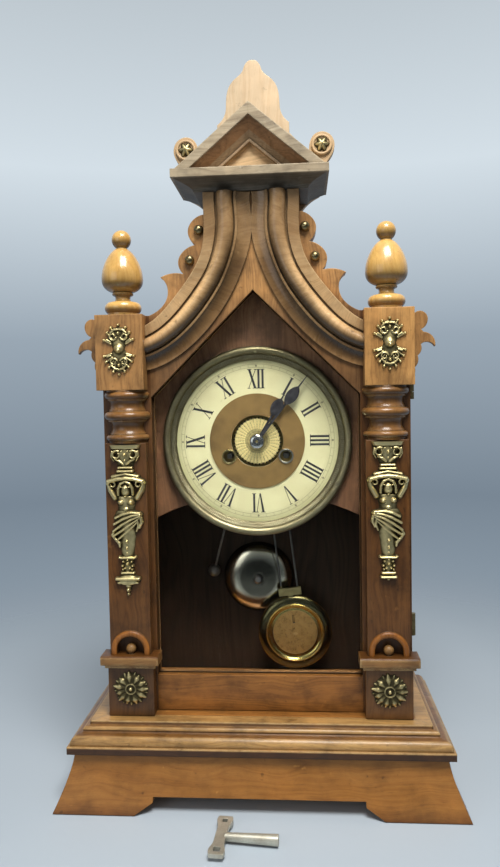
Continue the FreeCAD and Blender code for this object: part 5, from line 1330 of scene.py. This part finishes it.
class CLOCK_OT_stage(bpy.types.Operator):
    """Lay a pale floor, light it softly and stand the camera at the view's angle"""
    bl_idname = "clock.stage"
    bl_label = "Floor, light and camera"

    def execute(self, context):
        scene = context.scene
        self.floor(scene)
        self.light(scene, "key", at=(0.13, -0.52, 1.23), to=(0.0, -0.04, 0.42), size=0.5, power=15.0,
                   rgb=(1.0, 0.98, 0.94))
        self.light(scene, "left_fill", at=(-1.0, -1.3, 0.6), to=(0.0, 0.0, 0.3), size=1.0, power=3.5,
                   rgb=(0.94, 0.97, 1.0))
        self.sky(scene)
        self.camera(scene)
        scene.view_settings.view_transform = "Standard"
        return {"FINISHED"}

    def floor(self, scene):
        """A round table top that fades out towards its rim."""
        co, quads = lathe([(FLOOR_R, FLOOR_Z), (0.0, FLOOR_Z)], (0, 0, 0), "z", 64)
        mesh = bpy.data.meshes.new("floor")
        mesh.from_pydata(co.tolist(), [], quads.tolist())
        cleaned(mesh)
        if mesh.polygons[0].normal.z < 0:
            mesh.flip_normals()
        floor = bpy.data.objects.new("floor", mesh)
        scene.collection.objects.link(floor)
        m, t, bsdf = blank("floor_pale")
        at = place(t)
        c = colour("floor")
        base = ramp(t, noise(t, at, 3.0, 4.0), (0.3, shade(c, 0.97)), (0.7, shade(c, 1.02)))
        fill(t, bsdf, {"Base Color": base, "Roughness": 0.6, "Specular IOR Level": 0.2})
        reach = add(t, "VectorMath", {0: at}, operation="LENGTH").outputs["Value"]
        fade = add(t, "MapRange", {0: reach, 1: 0.18, 2: 0.85}, interpolation_type="SMOOTHSTEP").outputs[0]
        cover(t, fade, bsdf)
        mesh.materials.append(m)

    def light(self, scene, name, at, to, size, power, rgb):
        """A square area lamp at one point, aimed at another."""
        lamp = bpy.data.lights.new(name, "AREA")
        lamp.size, lamp.energy, lamp.color = size, power, rgb
        obj = bpy.data.objects.new(name, lamp)
        scene.collection.objects.link(obj)
        obj.location = at
        obj.rotation_euler = (Vector(to) - Vector(at)).to_track_quat("-Z", "Y").to_euler()

    def sky(self, scene):
        """A pale room that the camera and reflections see, dimmer in front, and a weak even wash of light."""
        world = scene.world or bpy.data.worlds.new("studio")
        scene.world = world
        world.use_nodes = True
        t = world.node_tree
        t.nodes.clear()
        _, y, z = add(t, "SeparateXYZ", {0: add(t, "TexCoord").outputs["Generated"]}).outputs
        pale = ramp(t, remap(t, z, -0.6, 0.5), *ROOM_STOPS)
        ray = add(t, "LightPath").outputs
        seen = calc(t, "MAXIMUM", ray["Is Camera Ray"], ray["Is Glossy Ray"])
        seen = calc(t, "MAXIMUM", seen, ray["Is Transmission Ray"])
        room = remap(t, y, -0.5, 0.5, 0.25, 1.0)
        dim = add(t, "Mix", {0: ray["Is Glossy Ray"], 2: 1.0, 3: room}).outputs[0]
        wash = add(t, "Background", {0: (0.95, 0.98, 1.0, 1), 1: 0.22}).outputs[0]
        view = add(t, "Background", {0: pale, 1: dim}).outputs[0]
        both = add(t, "MixShader", {0: seen, 1: wash, 2: view}).outputs[0]
        add(t, "OutputWorld", {0: both})

    def camera(self, scene):
        """The camera of the view, turned by yaw, pitch and roll."""
        s = sizes()
        cam = bpy.data.cameras.new("camera")
        cam.sensor_fit, cam.sensor_width = "AUTO", SENSOR
        cam.lens = s.focal_px / FRAME_H * SENSOR
        cam.clip_start, cam.clip_end = 0.01, 100.0
        obj = bpy.data.objects.new("camera", cam)
        scene.collection.objects.link(obj)
        yaw, pitch, roll = s.aim
        ahead = Vector((math.sin(yaw) * math.cos(pitch), math.cos(yaw) * math.cos(pitch), math.sin(pitch)))
        right = Vector((math.cos(yaw), -math.sin(yaw), 0))
        up = right.cross(ahead)
        r2, u2 = right * math.cos(roll) + up * math.sin(roll), up * math.cos(roll) - right * math.sin(roll)
        turn = Matrix((r2, u2, -ahead)).transposed().to_4x4()
        obj.matrix_world = Matrix.Translation(Vector(s.eye)) @ turn
        scene.camera = obj


class CLOCK_PT_panel(bpy.types.Panel):
    """Lists the steps, then the sizes and colours"""
    bl_idname = "CLOCK_PT_panel"
    bl_label = "Shelf Clock"
    bl_space_type = "VIEW_3D"
    bl_region_type = "UI"
    bl_category = "Clock"

    def draw(self, context):
        for kind in STEPS:
            self.layout.operator(kind.bl_idname)
        for held in (context.scene.clock_sizes, context.scene.clock_colours):
            for name in held.__annotations__:
                self.layout.prop(held, name)


STEPS = (CLOCK_OT_stage, CLOCK_OT_plinth, CLOCK_OT_carcase, CLOCK_OT_crown, CLOCK_OT_door_frame,
         CLOCK_OT_mounts, CLOCK_OT_dial, CLOCK_OT_movement, CLOCK_OT_pendulum, CLOCK_OT_glass, CLOCK_OT_key)
CLASSES = (ClockSizes, ClockColours) + STEPS + (CLOCK_PT_panel,)


def register():
    for kind in CLASSES:
        bpy.utils.register_class(kind)
    bpy.types.Scene.clock_sizes = PointerProperty(type=ClockSizes)
    bpy.types.Scene.clock_colours = PointerProperty(type=ClockColours)


def unregister():
    del bpy.types.Scene.clock_sizes, bpy.types.Scene.clock_colours
    for kind in reversed(CLASSES):
        bpy.utils.unregister_class(kind)


def main():
    """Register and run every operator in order."""
    register()
    for kind in STEPS:
        area, name = kind.bl_idname.split(".")
        if getattr(getattr(bpy.ops, area), name)() != {"FINISHED"}:
            raise RuntimeError("%s did not finish" % kind.bl_label)


if __name__ == "__main__":
    main()
